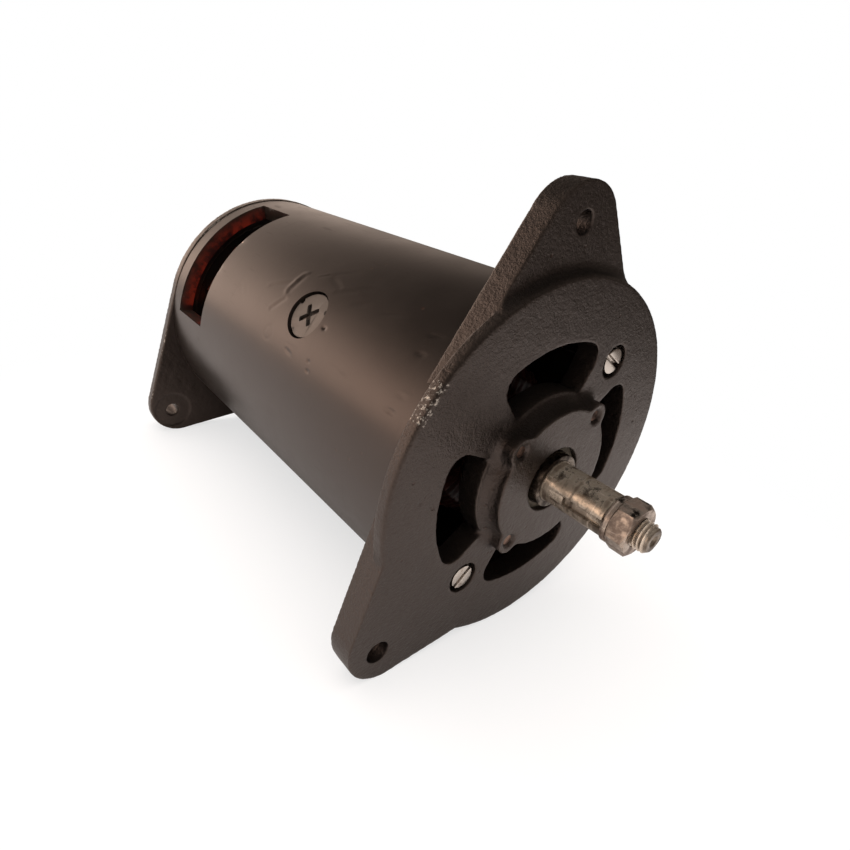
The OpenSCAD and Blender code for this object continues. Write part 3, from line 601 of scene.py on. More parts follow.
class Shade(Graph):
    """One material's node tree, opened for a finish to fill."""

    groups: dict[str, Tree] = {}

    def __init__(self, name: str) -> None:
        """Makes an empty material with a Principled surface and object coordinates."""
        self.material = bpy.data.materials.new(name)
        self.material.use_nodes = True
        super().__init__(self.material.node_tree)
        self.surface = self.tree.nodes["Principled BSDF"]
        self.place = self.add("ShaderNodeTexCoord").outputs["Object"]

    def group(self, effect: Callable[[], Tree], **values: float) -> bpy.types.NodeOutputs:
        """Places one of the shared effects with its own values.

        Args:
            effect: the builder in Effects.
            values: numbers for its inputs.
        Returns:
            The group's outputs.
        """
        name = effect.__name__
        if name not in Shade.groups:
            Shade.groups[name] = effect()
        node = self.add("ShaderNodeGroup")
        node.node_tree = Shade.groups[name]
        self.link(self.place, node.inputs["Vector"])
        for key, value in values.items():
            node.inputs[key].default_value = value
        return node.outputs

    def feed(self, value: object, socket: str) -> None:
        """Gives a value to an input of the Principled surface."""
        self.give(value, self.surface.inputs[socket])

    def bump(self, height: Socket, depth: float) -> None:
        """Raises the surface by a height whose full range is a depth in mm."""
        node = self.add("ShaderNodeBump")
        node.inputs["Strength"].default_value = 1.0
        node.inputs["Distance"].default_value = depth * MM
        self.link(height, node.inputs["Height"])
        self.link(node.outputs["Normal"], self.surface.inputs["Normal"])


@dataclass(frozen=True)
class Paint:
    """Black stoving paint over rough iron or steel.

    Fields give the paint's colour, the colour where it is thin, the metal under it, its roughness,
    the depth of the skin's grain in mm, how coarse the grain is, how much the edges are rubbed,
    whether red varnish lies where the piece's mask says so, how deep the scratches cut into the grain,
    the colours of rust in pits, of grime and painted shade in hollows and recesses, and of the varnish, and
    the paint's sheen.
    """

    name: str
    colour: Colour = (0.0062, 0.0048, 0.0040)
    thin: Colour = (0.036, 0.026, 0.020)
    metal: Colour = (0.62, 0.56, 0.49)
    rough: float = 0.40
    grain: float = 0.10
    coarse: float = 0.5
    wear: float = 0.25
    varnish: bool = False
    rub: float = 0.1
    rust: Colour = (0.03, 0.012, 0.008)
    grime_and_shade: Colour = (0.006, 0.005, 0.0045)
    red: tuple[Colour, Colour] = ((0.30, 0.030, 0.015), (0.035, 0.007, 0.006))
    sheen: Colour = (1.0, 0.79, 0.70)
    ior: float = 1.72

    def make(self) -> Material:
        """Builds the material."""
        shade = Shade(self.name)
        grain = shade.group(Effects.cast_grain, Coarse=self.coarse)
        wear = shade.group(Effects.edge_wear, Amount=self.wear)
        rub = shade.group(Effects.rubbing)["Mask"]
        cloud = shade.noise(shade.place, scale=38.0, detail=4.0, rough=0.6)
        pale = tuple(1.5 * c for c in self.colour)
        colour = shade.blend(shade.ramp(cloud, low=0.35, high=0.75), self.colour, pale)
        colour = shade.blend(shade.times(wear["Thin"], 0.7), colour, self.thin)
        colour = shade.blend(shade.times(grain["Pits"], 0.6), colour, self.rust)
        # Hollows are darkened here; in the pole screws' recesses and the ear holes this is painted shade.
        colour = shade.blend(shade.times(shade.attribute("nook"), 0.8), colour, self.grime_and_shade)
        colour = shade.blend(wear["Mask"], colour, self.metal)
        if self.varnish:
            blot = shade.noise(shade.place, scale=160.0, detail=4.0, rough=0.65)
            red = shade.blend(shade.ramp(blot, low=0.40, high=0.60), *self.red)
            colour = shade.blend(shade.attribute("varnish"), colour, red)
        rough = shade.plus(shade.times(cloud, 0.16), self.rough - 0.08)
        shade.feed(colour, "Base Color")
        shade.feed(wear["Mask"], "Metallic")
        shade.feed(shade.plus(rough, shade.times(rub, 0.06)), "Roughness")
        shade.feed(self.ior, "IOR")
        shade.feed(self.sheen, "Specular Tint")
        shade.bump(shade.less(grain["Height"], shade.times(rub, self.rub)), self.grain)
        return shade.material


@dataclass(frozen=True)
class Metal:
    """Bare or tarnished metal.

    Fields give the clean colour, the tarnish, how much of the surface it covers, the roughness,
    the depth of the tool marks in mm, the axis that they run round and how dull the tarnish is.
    """

    name: str
    colour: Colour
    tarnish: Colour
    cover: float = 0.5
    rough: float = 0.3
    marks: float = 0.01
    axis: Axis = Axis.NONE
    oxide: float = 0.0

    def make(self) -> Material:
        """Builds the material."""
        shade = Shade(self.name)
        rub = shade.group(Effects.rubbing)["Mask"]
        blot = shade.noise(shade.place, scale=240.0, detail=4.0, rough=0.65)
        film = shade.ramp(blot, low=0.62 - 0.3 * self.cover, high=0.86 - 0.3 * self.cover)
        height = shade.times(blot, 0.4)
        if self.axis is Axis.SHAFT:
            turned = shade.group(Effects.turned)
            film = shade.larger(shade.times(film, 0.6), turned["Film"])
            height = shade.plus(height, turned["Rings"])
        film = shade.larger(film, shade.attribute("nook"))
        shine = shade.larger(shade.times(rub, 0.5), shade.attribute("edge"))
        bright = tuple(min(1.0, 1.35 * c + 0.05) for c in self.colour)
        rough = shade.plus(shade.times(film, 0.22), self.rough)
        shade.feed(shade.blend(shine, shade.blend(film, self.colour, self.tarnish), bright), "Base Color")
        shade.feed(shade.less(rough, shade.times(shine, 0.08)), "Roughness")
        shade.feed(shade.less(1.0, shade.times(film, self.oxide)), "Metallic")
        shade.bump(shade.less(height, shade.times(rub, 0.6)), self.marks)
        return shade.material


@dataclass(frozen=True)
class Plain:
    """Moulded, fibrous or varnished stuff inside the machine.

    Fields give two colours that cloud into each other, the roughness, the size of the cloud per metre,
    the depth of the surface's texture in mm and the stretch of that texture along x, y and z.
    """

    name: str
    first: Colour
    second: Colour
    rough: float = 0.5
    scale: float = 160.0
    depth: float = 0.05
    stretch: Colour = (1.0, 1.0, 1.0)

    def make(self) -> Material:
        """Builds the material."""
        shade = Shade(self.name)
        place = shade.mapped(shade.place, self.stretch)
        cloud = shade.noise(place, scale=self.scale, detail=4.0, rough=0.6)
        fine = shade.noise(place, scale=6.0 * self.scale, detail=3.0, rough=0.6)
        colour = shade.blend(shade.ramp(cloud, low=0.3, high=0.7), self.first, self.second)
        dark = tuple(0.3 * c for c in self.second)
        shade.feed(shade.blend(shade.times(shade.attribute("nook"), 0.7), colour, dark), "Base Color")
        shade.feed(shade.plus(shade.times(fine, 0.2), self.rough - 0.1), "Roughness")
        shade.bump(shade.plus(cloud, shade.times(fine, 0.6)), self.depth)
        return shade.material


class Finishes:
    """All finishes of the machine: one for each of the record's slots, and two that share a slot."""

    def __init__(self) -> None:
        """Builds every material once."""
        kinds: dict[str, Paint | Metal | Plain] = {
            "yoke_paint": Paint("yoke paint", rough=0.31, grain=0.022, coarse=0.35, wear=0.12, varnish=True),
            "bracket_paint": Paint("casting paint", rough=0.34, grain=0.24, coarse=1.0, wear=0.36, rub=0.0),
            "rear_paint": Paint("rear casting paint", rough=0.31, grain=0.07, coarse=0.8, wear=0.30,
                                varnish=True),
            "dark_screw": Paint("painted screw", (0.05, 0.042, 0.035), (0.11, 0.09, 0.075), (0.5, 0.44, 0.38),
                                rough=0.42, grain=0.05, wear=0.45),
            "screw_steel": Metal("bright screw steel", (0.74, 0.68, 0.62), (0.30, 0.22, 0.17),
                                 cover=0.35, rough=0.24, marks=0.02),
            "rivet_steel": Metal("rivet steel", (0.26, 0.165, 0.125), (0.05, 0.03, 0.024),
                                 cover=0.7, rough=0.36, marks=0.03),
            "shaft_steel": Metal("shaft steel", (0.54, 0.45, 0.36), (0.088, 0.062, 0.042),
                                 cover=0.85, rough=0.2, marks=0.012, axis=Axis.SHAFT, oxide=0.6),
            "collar_steel": Metal("collar steel", (0.20, 0.165, 0.135), (0.03, 0.022, 0.017),
                                  cover=0.8, rough=0.26, marks=0.012),
            "nut_steel": Metal("nut steel", (0.50, 0.41, 0.34), (0.20, 0.145, 0.115),
                               cover=0.85, rough=0.27, marks=0.03, oxide=0.4),
            "bearing_steel": Metal("bearing steel", (0.62, 0.61, 0.6), (0.35, 0.32, 0.28),
                                   cover=0.25, rough=0.16, marks=0.004, axis=Axis.SHAFT),
            "cage_brass": Metal("brass", (0.62, 0.44, 0.19), (0.25, 0.16, 0.07), rough=0.32),
            "iron": Metal("core iron", (0.22, 0.19, 0.17), (0.10, 0.075, 0.06),
                          cover=0.6, rough=0.5, marks=0.03),
            "copper": Metal("copper", (0.72, 0.40, 0.26), (0.25, 0.13, 0.09),
                            cover=0.55, marks=0.008, axis=Axis.SHAFT),
            "bush_bronze": Metal("bronze", (0.55, 0.38, 0.20), (0.2, 0.13, 0.07), rough=0.42, marks=0.02),
            "spring_steel": Metal("spring steel", (0.36, 0.38, 0.42), (0.13, 0.13, 0.15), marks=0.008),
            "felt": Plain("felt", (0.19, 0.16, 0.12), (0.08, 0.065, 0.05),
                          rough=0.95, scale=700.0, depth=0.15),
            "winding": Plain("winding varnish", (0.055, 0.012, 0.007), (0.02, 0.006, 0.004),
                             rough=0.36, scale=210.0, depth=0.12),
            "insulator": Plain("fibre board", (0.24, 0.045, 0.02), (0.12, 0.025, 0.014),
                               rough=0.6, scale=260.0, stretch=(1.0, 6.0, 1.0)),
            "carbon": Plain("carbon", (0.045, 0.043, 0.043), (0.02, 0.019, 0.019), scale=500.0, depth=0.02),
            "sleeve": Plain("varnished sleeve", (0.55, 0.09, 0.025), (0.30, 0.045, 0.016),
                            rough=0.45, scale=300.0, depth=0.08, stretch=(1.0, 3.0, 1.0)),
            "terminal_moulding": Plain("dark moulding", (0.028, 0.018, 0.014), (0.014, 0.010, 0.008),
                                       rough=0.34, scale=120.0, depth=0.02),
        }
        self.materials = {slot: kind.make() for slot, kind in kinds.items()}

    def __getitem__(self, slot: str) -> Material:
        """Gives the material of a slot."""
        return self.materials[slot]

    def dress_nodes(self) -> None:
        """Puts the finishes on every CAD node that stays in view."""
        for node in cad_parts.values():
            for k, old in enumerate(list(node.data.materials)):
                key = old.name.split(".")[0]
                if key in self.materials:
                    node.material_slots[k].material = self.materials[key]


@dataclass(frozen=True)
class Mark:
    """A blow or scratch on the yoke: a stroke between two points, in degrees and mm of depth along the axis.

    Width and depth are in mm; a burr is the ridge thrown up beside the stroke, and bare bares the metal.
    """

    start: tuple[float, float]
    end: tuple[float, float]
    width: float
    depth: float
    burr: float = 0.0
    bare: float = 0.0


@dataclass
class Yoke:
    """The steel tube with its two brush windows and the pole screws in its wall. Lengths in mm.

    Steps give the distance from the shaft, or from the notch's foot, and the radius there. A pole screw
    lies a little off the middle of its hole, by hole_shift round and along the yoke. The cross gives its
    recess's length, width and depth, at the distance cross_at, and its notches are where it was staked.
    What stands above head_flat follows the yoke's round; what lies below head_shade_line is painted dark,
    as painted shade in the cross recess and the gap round the head. Each of fine_zones is a part of the
    skin, in degrees and depth, that takes smaller faces for its marks. A ring dent has its place in degrees
    and depth, its radius, how deep it is and its width. The waves have their height, how many go round,
    their start and how fast they run along the yoke.
    """

    radius: float = 57.15
    wall: float = 6.35
    front: float = 11.7
    back: float = 195.2
    window: tuple[float, float] = (160.5, 187.0)
    window_at: float = 140.2
    window_half: float = 35.3
    screw_at: float = 145.2
    screw_depth: float = 85.8
    screw_r: float = 8.8
    screw_sunk: float = 0.8
    screw_steps: Steps = ((34.0, 4.9), (50.2, 4.9), (52.4, 7.0), (54.6, 8.7), (55.8, 8.8), (57.6, 8.8))
    hole_steps: Steps = ((46.0, 7.6), (52.4, 7.6), (54.2, 9.5), (60.0, 9.9))
    hole_shift: tuple[float, float] = (-0.1, 0.35)
    head_flat: float = 57.0
    head_shade_line: float = 56.0
    cross: tuple[float, float, float] = (9.5, 2.1, 5.0)
    cross_at: float = 57.2
    cross_turn: float = 41.0
    notches: tuple[float, ...] = (62.0, 205.0, 338.0)
    notch_foot: float = 55.6
    notch_steps: Steps = ((0.0, 0.8), (3.0, 1.5))
    skin: float = 0.7
    sides: int = 240
    rings: int = 60
    fine_zones: tuple[tuple[float, float, float, float], ...] = (
        (122.0, 168.0, 12.0, 140.0),
        (128.0, 164.0, 62.0, 120.0),
    )
    marks: tuple[Mark, ...] = (
        Mark((140.6, 104.0), (133.5, 102.3), 2.4, 0.13, 0.20),
        Mark((142.9, 116.6), (137.7, 105.5), 2.2, 0.07, 0.06),
        Mark((150.3, 107.9), (144.6, 103.1), 1.9, 0.16, 0.06),
        Mark((160.1, 87.1), (160.8, 83.6), 1.5, 0.14, 0.06),
        Mark((146.5, 73.2), (146.8, 72.6), 1.2, 0.55),
        Mark((159.1, 72.3), (159.3, 71.8), 0.9, 0.35),
        Mark((162.2, 70.8), (162.4, 70.2), 0.9, 0.35),
        Mark((138.8, 29.4), (138.9, 28.4), 1.0, 0.45),
        Mark((157.4, 27.4), (157.8, 25.0), 0.9, 0.40),
        Mark((151.9, 26.2), (152.1, 25.4), 0.7, 0.3),
        Mark((183.7, 88.9), (184.2, 88.1), 0.9, 0.35),
        Mark((132.3, 31.0), (131.4, 27.0), 0.8, 0.30),
        Mark((132.6, 53.3), (129.6, 45.0), 0.8, 0.20, 0.1),
        Mark((130.9, 95.4), (120.2, 78.7), 0.7, 0.10, 0.12),
        Mark((148.0, 136.5), (153.0, 131.0), 0.8, 0.12, 0.08),
        Mark((146.5, 133.5), (151.5, 128.5), 0.8, 0.10, 0.06),
        Mark((129.0, 88.0), (131.0, 81.0), 2.4, 0.07, 0.03),
        Mark((133.5, 80.0), (130.0, 72.5), 2.4, 0.06, 0.03),
        Mark((128.0, 72.0), (126.5, 66.0), 2.2, 0.06, 0.03),
        Mark((134.5, 68.0), (132.0, 62.0), 2.2, 0.06, 0.03),
        Mark((132.6, 160.7), (131.0, 160.7), 0.9, 0.25, 0.0, 1.0),
        Mark((149.0, 160.8), (146.5, 160.8), 0.9, 0.25, 0.0, 0.8),
        Mark((80.0, 84.0), (83.5, 87.5), 0.9, 0.25, 0.2, 0.6),
        Mark((318.0, 60.0), (310.0, 66.0), 1.0, 0.25, 0.1),
        Mark((20.0, 120.0), (26.0, 128.0), 1.0, 0.22, 0.1),
        Mark((285.0, 140.0), (288.0, 136.0), 1.1, 0.3, 0.1),
        Mark((45.0, 60.0), (41.0, 52.0), 0.9, 0.25, 0.1),
    )
    ring_dent: tuple[float, float, float, float, float] = (158.7, 102.4, 2.6, 0.05, 0.55)
    waves: tuple[float, float, float, float] = (0.035, 7.0, 0.4, 0.043)
    varnish: tuple[float, float] = (150.0, 194.0)
    lower_varnish_end: float = 166.0

    def _off_window(self, turn: np.ndarray) -> np.ndarray:
        """Gives how many degrees an angle lies from the middle of the nearer window."""
        return np.abs((turn - self.window_at + 90.0) % 180.0 - 90.0)

    def _arc(self, turn: np.ndarray, start: float) -> np.ndarray:
        """Gives the way round the skin from a starting angle, in mm."""
        return np.radians((turn - start + 180.0) % 360.0 - 180.0) * self.radius

    def tube(self) -> Obj:
        """Builds the tube with its windows, wall and screw holes."""
        length = self.back - self.front
        Bench.clear()
        bpy.ops.mesh.primitive_cylinder_add(
            vertices=self.sides, radius=self.radius * MM, depth=length * MM, end_fill_type="NOTHING",
            location=(0, (self.front + self.back) / 2 * MM, 0), rotation=(math.pi / 2, 0, 0))
        tube = bpy.context.object
        tube.name = "yoke_tube"
        Bench.settle(tube)
        depth = Bench.points(tube)[:, 1]
        ends = np.array([edge.vertices[:] for edge in tube.data.edges])
        Bench.pick(tube, "EDGE", np.abs(depth[ends[:, 0]] - depth[ends[:, 1]]) > 1.0)
        bpy.ops.mesh.subdivide(number_cuts=self.rings - 1)
        Bench.done()
        self._open_windows(tube)
        Bench.edit(tube)
        bpy.ops.mesh.remove_doubles(threshold=1e-5)
        bpy.ops.mesh.normals_make_consistent(inside=False)
        Bench.done()
        if Bench.normals(tube)[0] @ (Bench.points(tube)[0] * (1, 0, 1)) < 0:
            Bench.edit(tube)
            bpy.ops.mesh.flip_normals()
            Bench.done()
        Bench.modify(tube, "SOLIDIFY", thickness=self.wall * MM, offset=-1.0, use_even_offset=True)
        for turn in (self.screw_at, self.screw_at + 180.0):
            base = polar(turn, 0.0, self.screw_depth) + polar(turn - 90.0, *self.hole_shift)
            Bench.cut(tube, Bench.rod("hole", base, outward(turn), self.hole_steps, sides=72))
        Bench.round_edges(tube, width=0.45, angle=38.0)
        return tube

    def _open_windows(self, tube: Obj) -> None:
        """Cuts the skin along the windows' sides and deletes the faces inside."""
        planes = [((0, depth * MM, 0), (0, 1, 0)) for depth in self.window]
        for side in (-1, 1):
            turn = math.radians(self.window_at + side * self.window_half)
            planes.append(((0, 0, 0), (-math.sin(turn), 0, math.cos(turn))))
        for place, normal in planes:
            Bench.edit(tube)
            bpy.ops.mesh.bisect(plane_co=place, plane_no=normal)
            Bench.done()
        middles = Bench.middles(tube)
        depth = middles[:, 1]
        inside = self._off_window(about_shaft(middles)[0]) < self.window_half
        Bench.pick(tube, "FACE", inside & (depth > self.window[0]) & (depth < self.window[1]))
        bpy.ops.mesh.delete(type="FACE")
        Bench.done()

    def refine(self, tube: Obj) -> None:
        """Subdivides the outer skin where the marks lie and puts it back on the round."""
        for first, last, near, far in self.fine_zones:
            middles = Bench.middles(tube)
            turn, r = about_shaft(middles)
            depth = middles[:, 1]
            four = np.array([len(face.vertices) for face in tube.data.polygons]) == 4
            inside = (turn > first) & (turn < last) & (depth > near) & (depth < far)
            Bench.pick(tube, "FACE", inside & four & (r > self.radius - 0.1))
            bpy.ops.mesh.subdivide(number_cuts=1)
            Bench.done()
        pts = Bench.points(tube)
        r = about_shaft(pts)[1]
        outer = r > self.radius - 0.06
        pts[outer, 0] *= self.radius / r[outer]
        pts[outer, 2] *= self.radius / r[outer]
        Bench.put(tube, pts)

    def batter(self, tube: Obj) -> None:
        """Moves the skin for each mark and stores the bared metal."""
        pts = Bench.points(tube)
        turn, r = about_shaft(pts)
        skin = r > self.radius - self.skin
        move = np.zeros(len(pts))
        bare = np.zeros(len(pts))
        for mark in self.marks:
            arc = self._arc(turn, mark.start[0])
            along = pts[:, 1] - mark.start[1]
            sweep = math.radians(mark.end[0] - mark.start[0]) * self.radius
            run = np.array([sweep, mark.end[1] - mark.start[1]])
            share = unit((arc * run[0] + along * run[1]) / max(float(run @ run), 1e-6))
            across = np.hypot(arc - share * run[0], along - share * run[1])
            beside = arc * run[1] - along * run[0] > 0
            taper = 0.55 + 0.45 * np.sin(math.pi * np.clip(share, 0.05, 0.95))
            move -= mark.depth * taper * bell(across, 0.5 * mark.width)
            move += mark.burr * taper * bell(across - 0.75 * mark.width, 0.4 * mark.width) * beside
            bare = np.maximum(bare, mark.bare * bell(across, 0.6 * mark.width))
        at, depth, size, deep, width = self.ring_dent
        gap = np.hypot(self._arc(turn, at), pts[:, 1] - depth)
        move -= deep * bell(gap - size, width)
        height, lobes, start, pace = self.waves
        move += height * np.sin(np.radians(turn) * lobes + start) * np.sin(pts[:, 1] * pace)
        move = np.where(skin, move, 0.0)
        pts[:, 0] *= 1.0 + move / r
        pts[:, 2] *= 1.0 + move / r
        Bench.put(tube, pts)
        Bench.mask(tube, "bare", np.where(skin, bare, 0.0))
        self._varnish(tube, pts[:, 1], turn, r)

    def _varnish(self, tube: Obj, depth: np.ndarray, turn: np.ndarray, r: np.ndarray) -> None:
        """Stores where red varnish lies on the windows' walls, but for most of their end walls.

        Args:
            tube: the yoke.
            depth: each point's depth in mm.
            turn: its angle in degrees.
            r: its radius in mm before the marks.
        """
        near, far = self.varnish
        under_skin = unit((self.radius - 0.25 - r) / 0.3)
        wall = under_skin * unit((depth - near) / 4.0) * (depth < far)
        end_wall = unit((self._off_window(turn) - self.window_half + 2.2) / 1.2)
        upper = (turn - self.window_at) % 180.0 > 90.0
        lower_bare = np.clip((depth - self.lower_varnish_end) / 3.0, 0.0, 0.85)
        end_wall *= np.where(upper, 1.0, lower_bare)
        Bench.mask(tube, "varnish", wall * (1.0 - end_wall))

    def pole_screw(self, turn: float, name: str) -> Obj:
        """Builds one pole screw: a head that follows the yoke's round, a cross recess and staked notches.

        Args:
            turn: where it lies round the yoke, in degrees.
            name: name of the new object.
        Returns:
            The screw.
        """
        axis = outward(turn)
        screw = Bench.rod(name, polar(turn, 0.0, self.screw_depth), axis, self.screw_steps, sides=96)
        along = Vector((0, 1, 0))
        across = axis.cross(along)

        def toward(spin: float) -> Vector:
            """Gives a direction across the head, turned by an angle in degrees."""
            lean = math.radians(spin)
            return along * math.cos(lean) + across * math.sin(lean)

        for spin in (self.cross_turn, self.cross_turn + 90.0):
            way = toward(spin)
            middle = polar(turn, self.cross_at, self.screw_depth)
            bar = Bench.box(way, axis.cross(way), axis, middle, self.cross)
            Bench.round_edges(bar, width=0.6)
            Bench.cut(screw, bar)
        for spin in self.notches:
            base = polar(turn, self.notch_foot, self.screw_depth) + toward(spin) * (self.screw_r * MM)
            Bench.cut(screw, Bench.rod("notch", base, axis, self.notch_steps, sides=16))
        pts = Bench.points(screw)
        height = pts @ np.array(axis)
        wide = pts @ np.array(across)
        crown = np.sqrt((self.radius - self.screw_sunk) ** 2 - wide ** 2)
        rise = np.where(height > self.head_flat, crown - height, 0.0)
        Bench.put(screw, pts + np.outer(rise, np.array(axis)))
        Bench.round_edges(screw, width=0.3, angle=40.0)
        Bench.smooth(screw, angle=35.0)
        return screw

    def build(self, finishes: Finishes) -> None:
        """Builds and dresses the yoke and its screws."""
        tube = self.tube()
        self.refine(tube)
        self.batter(tube)
        Bench.wear_masks(tube, rounds=3, reach=0.5)
        Bench.smooth(tube, angle=38.0)
        Bench.fit(tube, "yoke", "frame", "yoke_paint", finishes["yoke_paint"])
        upper = self.pole_screw(self.screw_at, "pole_screws_heads")
        lower = self.pole_screw(self.screw_at + 180.0, "pole_screw_lower")
        both = Bench.join(upper, lower)
        Bench.wear_masks(both, rounds=1, reach=0.4)
        # Below this height each head is painted dark: painted shade in the cross recess and the gap round it.
        Bench.mask(both, "nook", (self.head_shade_line - about_shaft(Bench.points(both))[1]) / 0.5)
        Bench.fit(both, "pole_screws", "frame", "dark_screw", finishes["dark_screw"])


@dataclass
class Casting:
    """One end bracket: the CAD form with a casting's soft edges, fillets and uneven skin. Lengths in mm.

    Each of sparkle is a stretch of bared rim, in degrees and radius. A pit has its x, z, size and depth,
    and a shaded bore its x, z and radius: its wall is painted dark as shade. The fillet has the radii that it
    lies between and how far back it goes.
    """

    node: str
    name: str
    paint: str
    slot: str = "bracket_paint"
    voxel: float = 0.5
    soften: int = 4
    lumps: float = 0.03
    lump_sizes: Steps = ((9.0, 0.8), (3.6, 0.7), (1.9, 0.7))
    waves: int = 24
    seed: int = 7
    most: int = 190000
    sparkle: tuple[tuple[float, float, float, float], ...] = ()
    pits: tuple[tuple[float, float, float, float], ...] = ()
    shaded_bores: tuple[tuple[float, float, float], ...] = ()
    fillet: Optional[tuple[float, float, float]] = None

    def _fill(self, cast: Obj) -> None:
        """Runs a soft fillet round the foot of the bearing boss."""
        low, high, back = self.fillet
        pts = Bench.points(cast)
        soft = Bench.spread(cast, pts, rounds=60)
        r = about_shaft(pts)[1]
        foot = (r > low) & (r < high) & (pts[:, 1] < back)
        zone = (unit(-Bench.standing(cast, soft) / 0.1) * foot)[:, None]
        zone = unit(2.5 * Bench.spread(cast, zone, rounds=14))
        Bench.put(cast, pts * (1.0 - zone) + soft * zone)

    def _lumps(self, pts: np.ndarray) -> np.ndarray:
        """Gives the height of an uneven skin, from waves in many directions."""
        rng = np.random.default_rng(self.seed)
        wave = np.zeros(len(pts))
        for size, share in self.lump_sizes:
            for _ in range(self.waves):
                way = rng.normal(size=3)
                way *= 2 * math.pi / size / np.linalg.norm(way)
                wave += share * np.sin(pts @ way + rng.uniform(0, 6.28)) / self.waves ** 0.5
        return self.lumps * wave

    def skin(self, cast: Obj) -> None:
        """Gives the skin its lumps and pits and stores its wear, and the painted shade in its bores."""
        pts = Bench.points(cast)
        forward = Bench.normals(cast)[:, 1] < -0.5
        move = self._lumps(pts)
        for x, z, size, deep in self.pits:
            move -= deep * bell(np.hypot(pts[:, 0] - x, pts[:, 2] - z), size) * forward
        Bench.push(cast, move)
        Bench.wear_masks(cast, rounds=10, reach=0.42)
        turn, r = about_shaft(pts)
        upper_left = (pts[:, 2] > 30.0) & (pts[:, 0] < 12.0)
        bare = 0.5 * Bench.read_mask(cast, "edge") * upper_left
        for first, last, low, high in self.sparkle:
            zone = unit((turn - first) / 3.0) * unit((last - turn) / 3.0)
            bare = np.maximum(bare, 0.56 * zone * (r > low) * (r < high))
        Bench.mask(cast, "bare", bare)
        nook = Bench.read_mask(cast, "nook")
        # The walls of these bores are painted dark: painted shade inside the ear holes.
        for x, z, radius in self.shaded_bores:
            inner = unit((radius + 0.35 - np.hypot(pts[:, 0] - x, pts[:, 2] - z)) / 0.3)
            nook = np.maximum(nook, inner)
        Bench.mask(cast, "nook", nook)

    def build(self, finishes: Finishes) -> None:
        """Builds and dresses the bracket."""
        cast = Bench.copy_node(self.node, self.name)
        Bench.remesh(cast, self.voxel, self.soften)
        if self.fillet:
            self._fill(cast)
        self.skin(cast)
        tris = sum(len(face.vertices) - 2 for face in cast.data.polygons)
        if tris > self.most:
            Bench.modify(cast, "DECIMATE", ratio=self.most / tris)
        Bench.smooth(cast, angle=60.0)
        Bench.fit(cast, self.node, "frame", self.slot, finishes[self.paint])


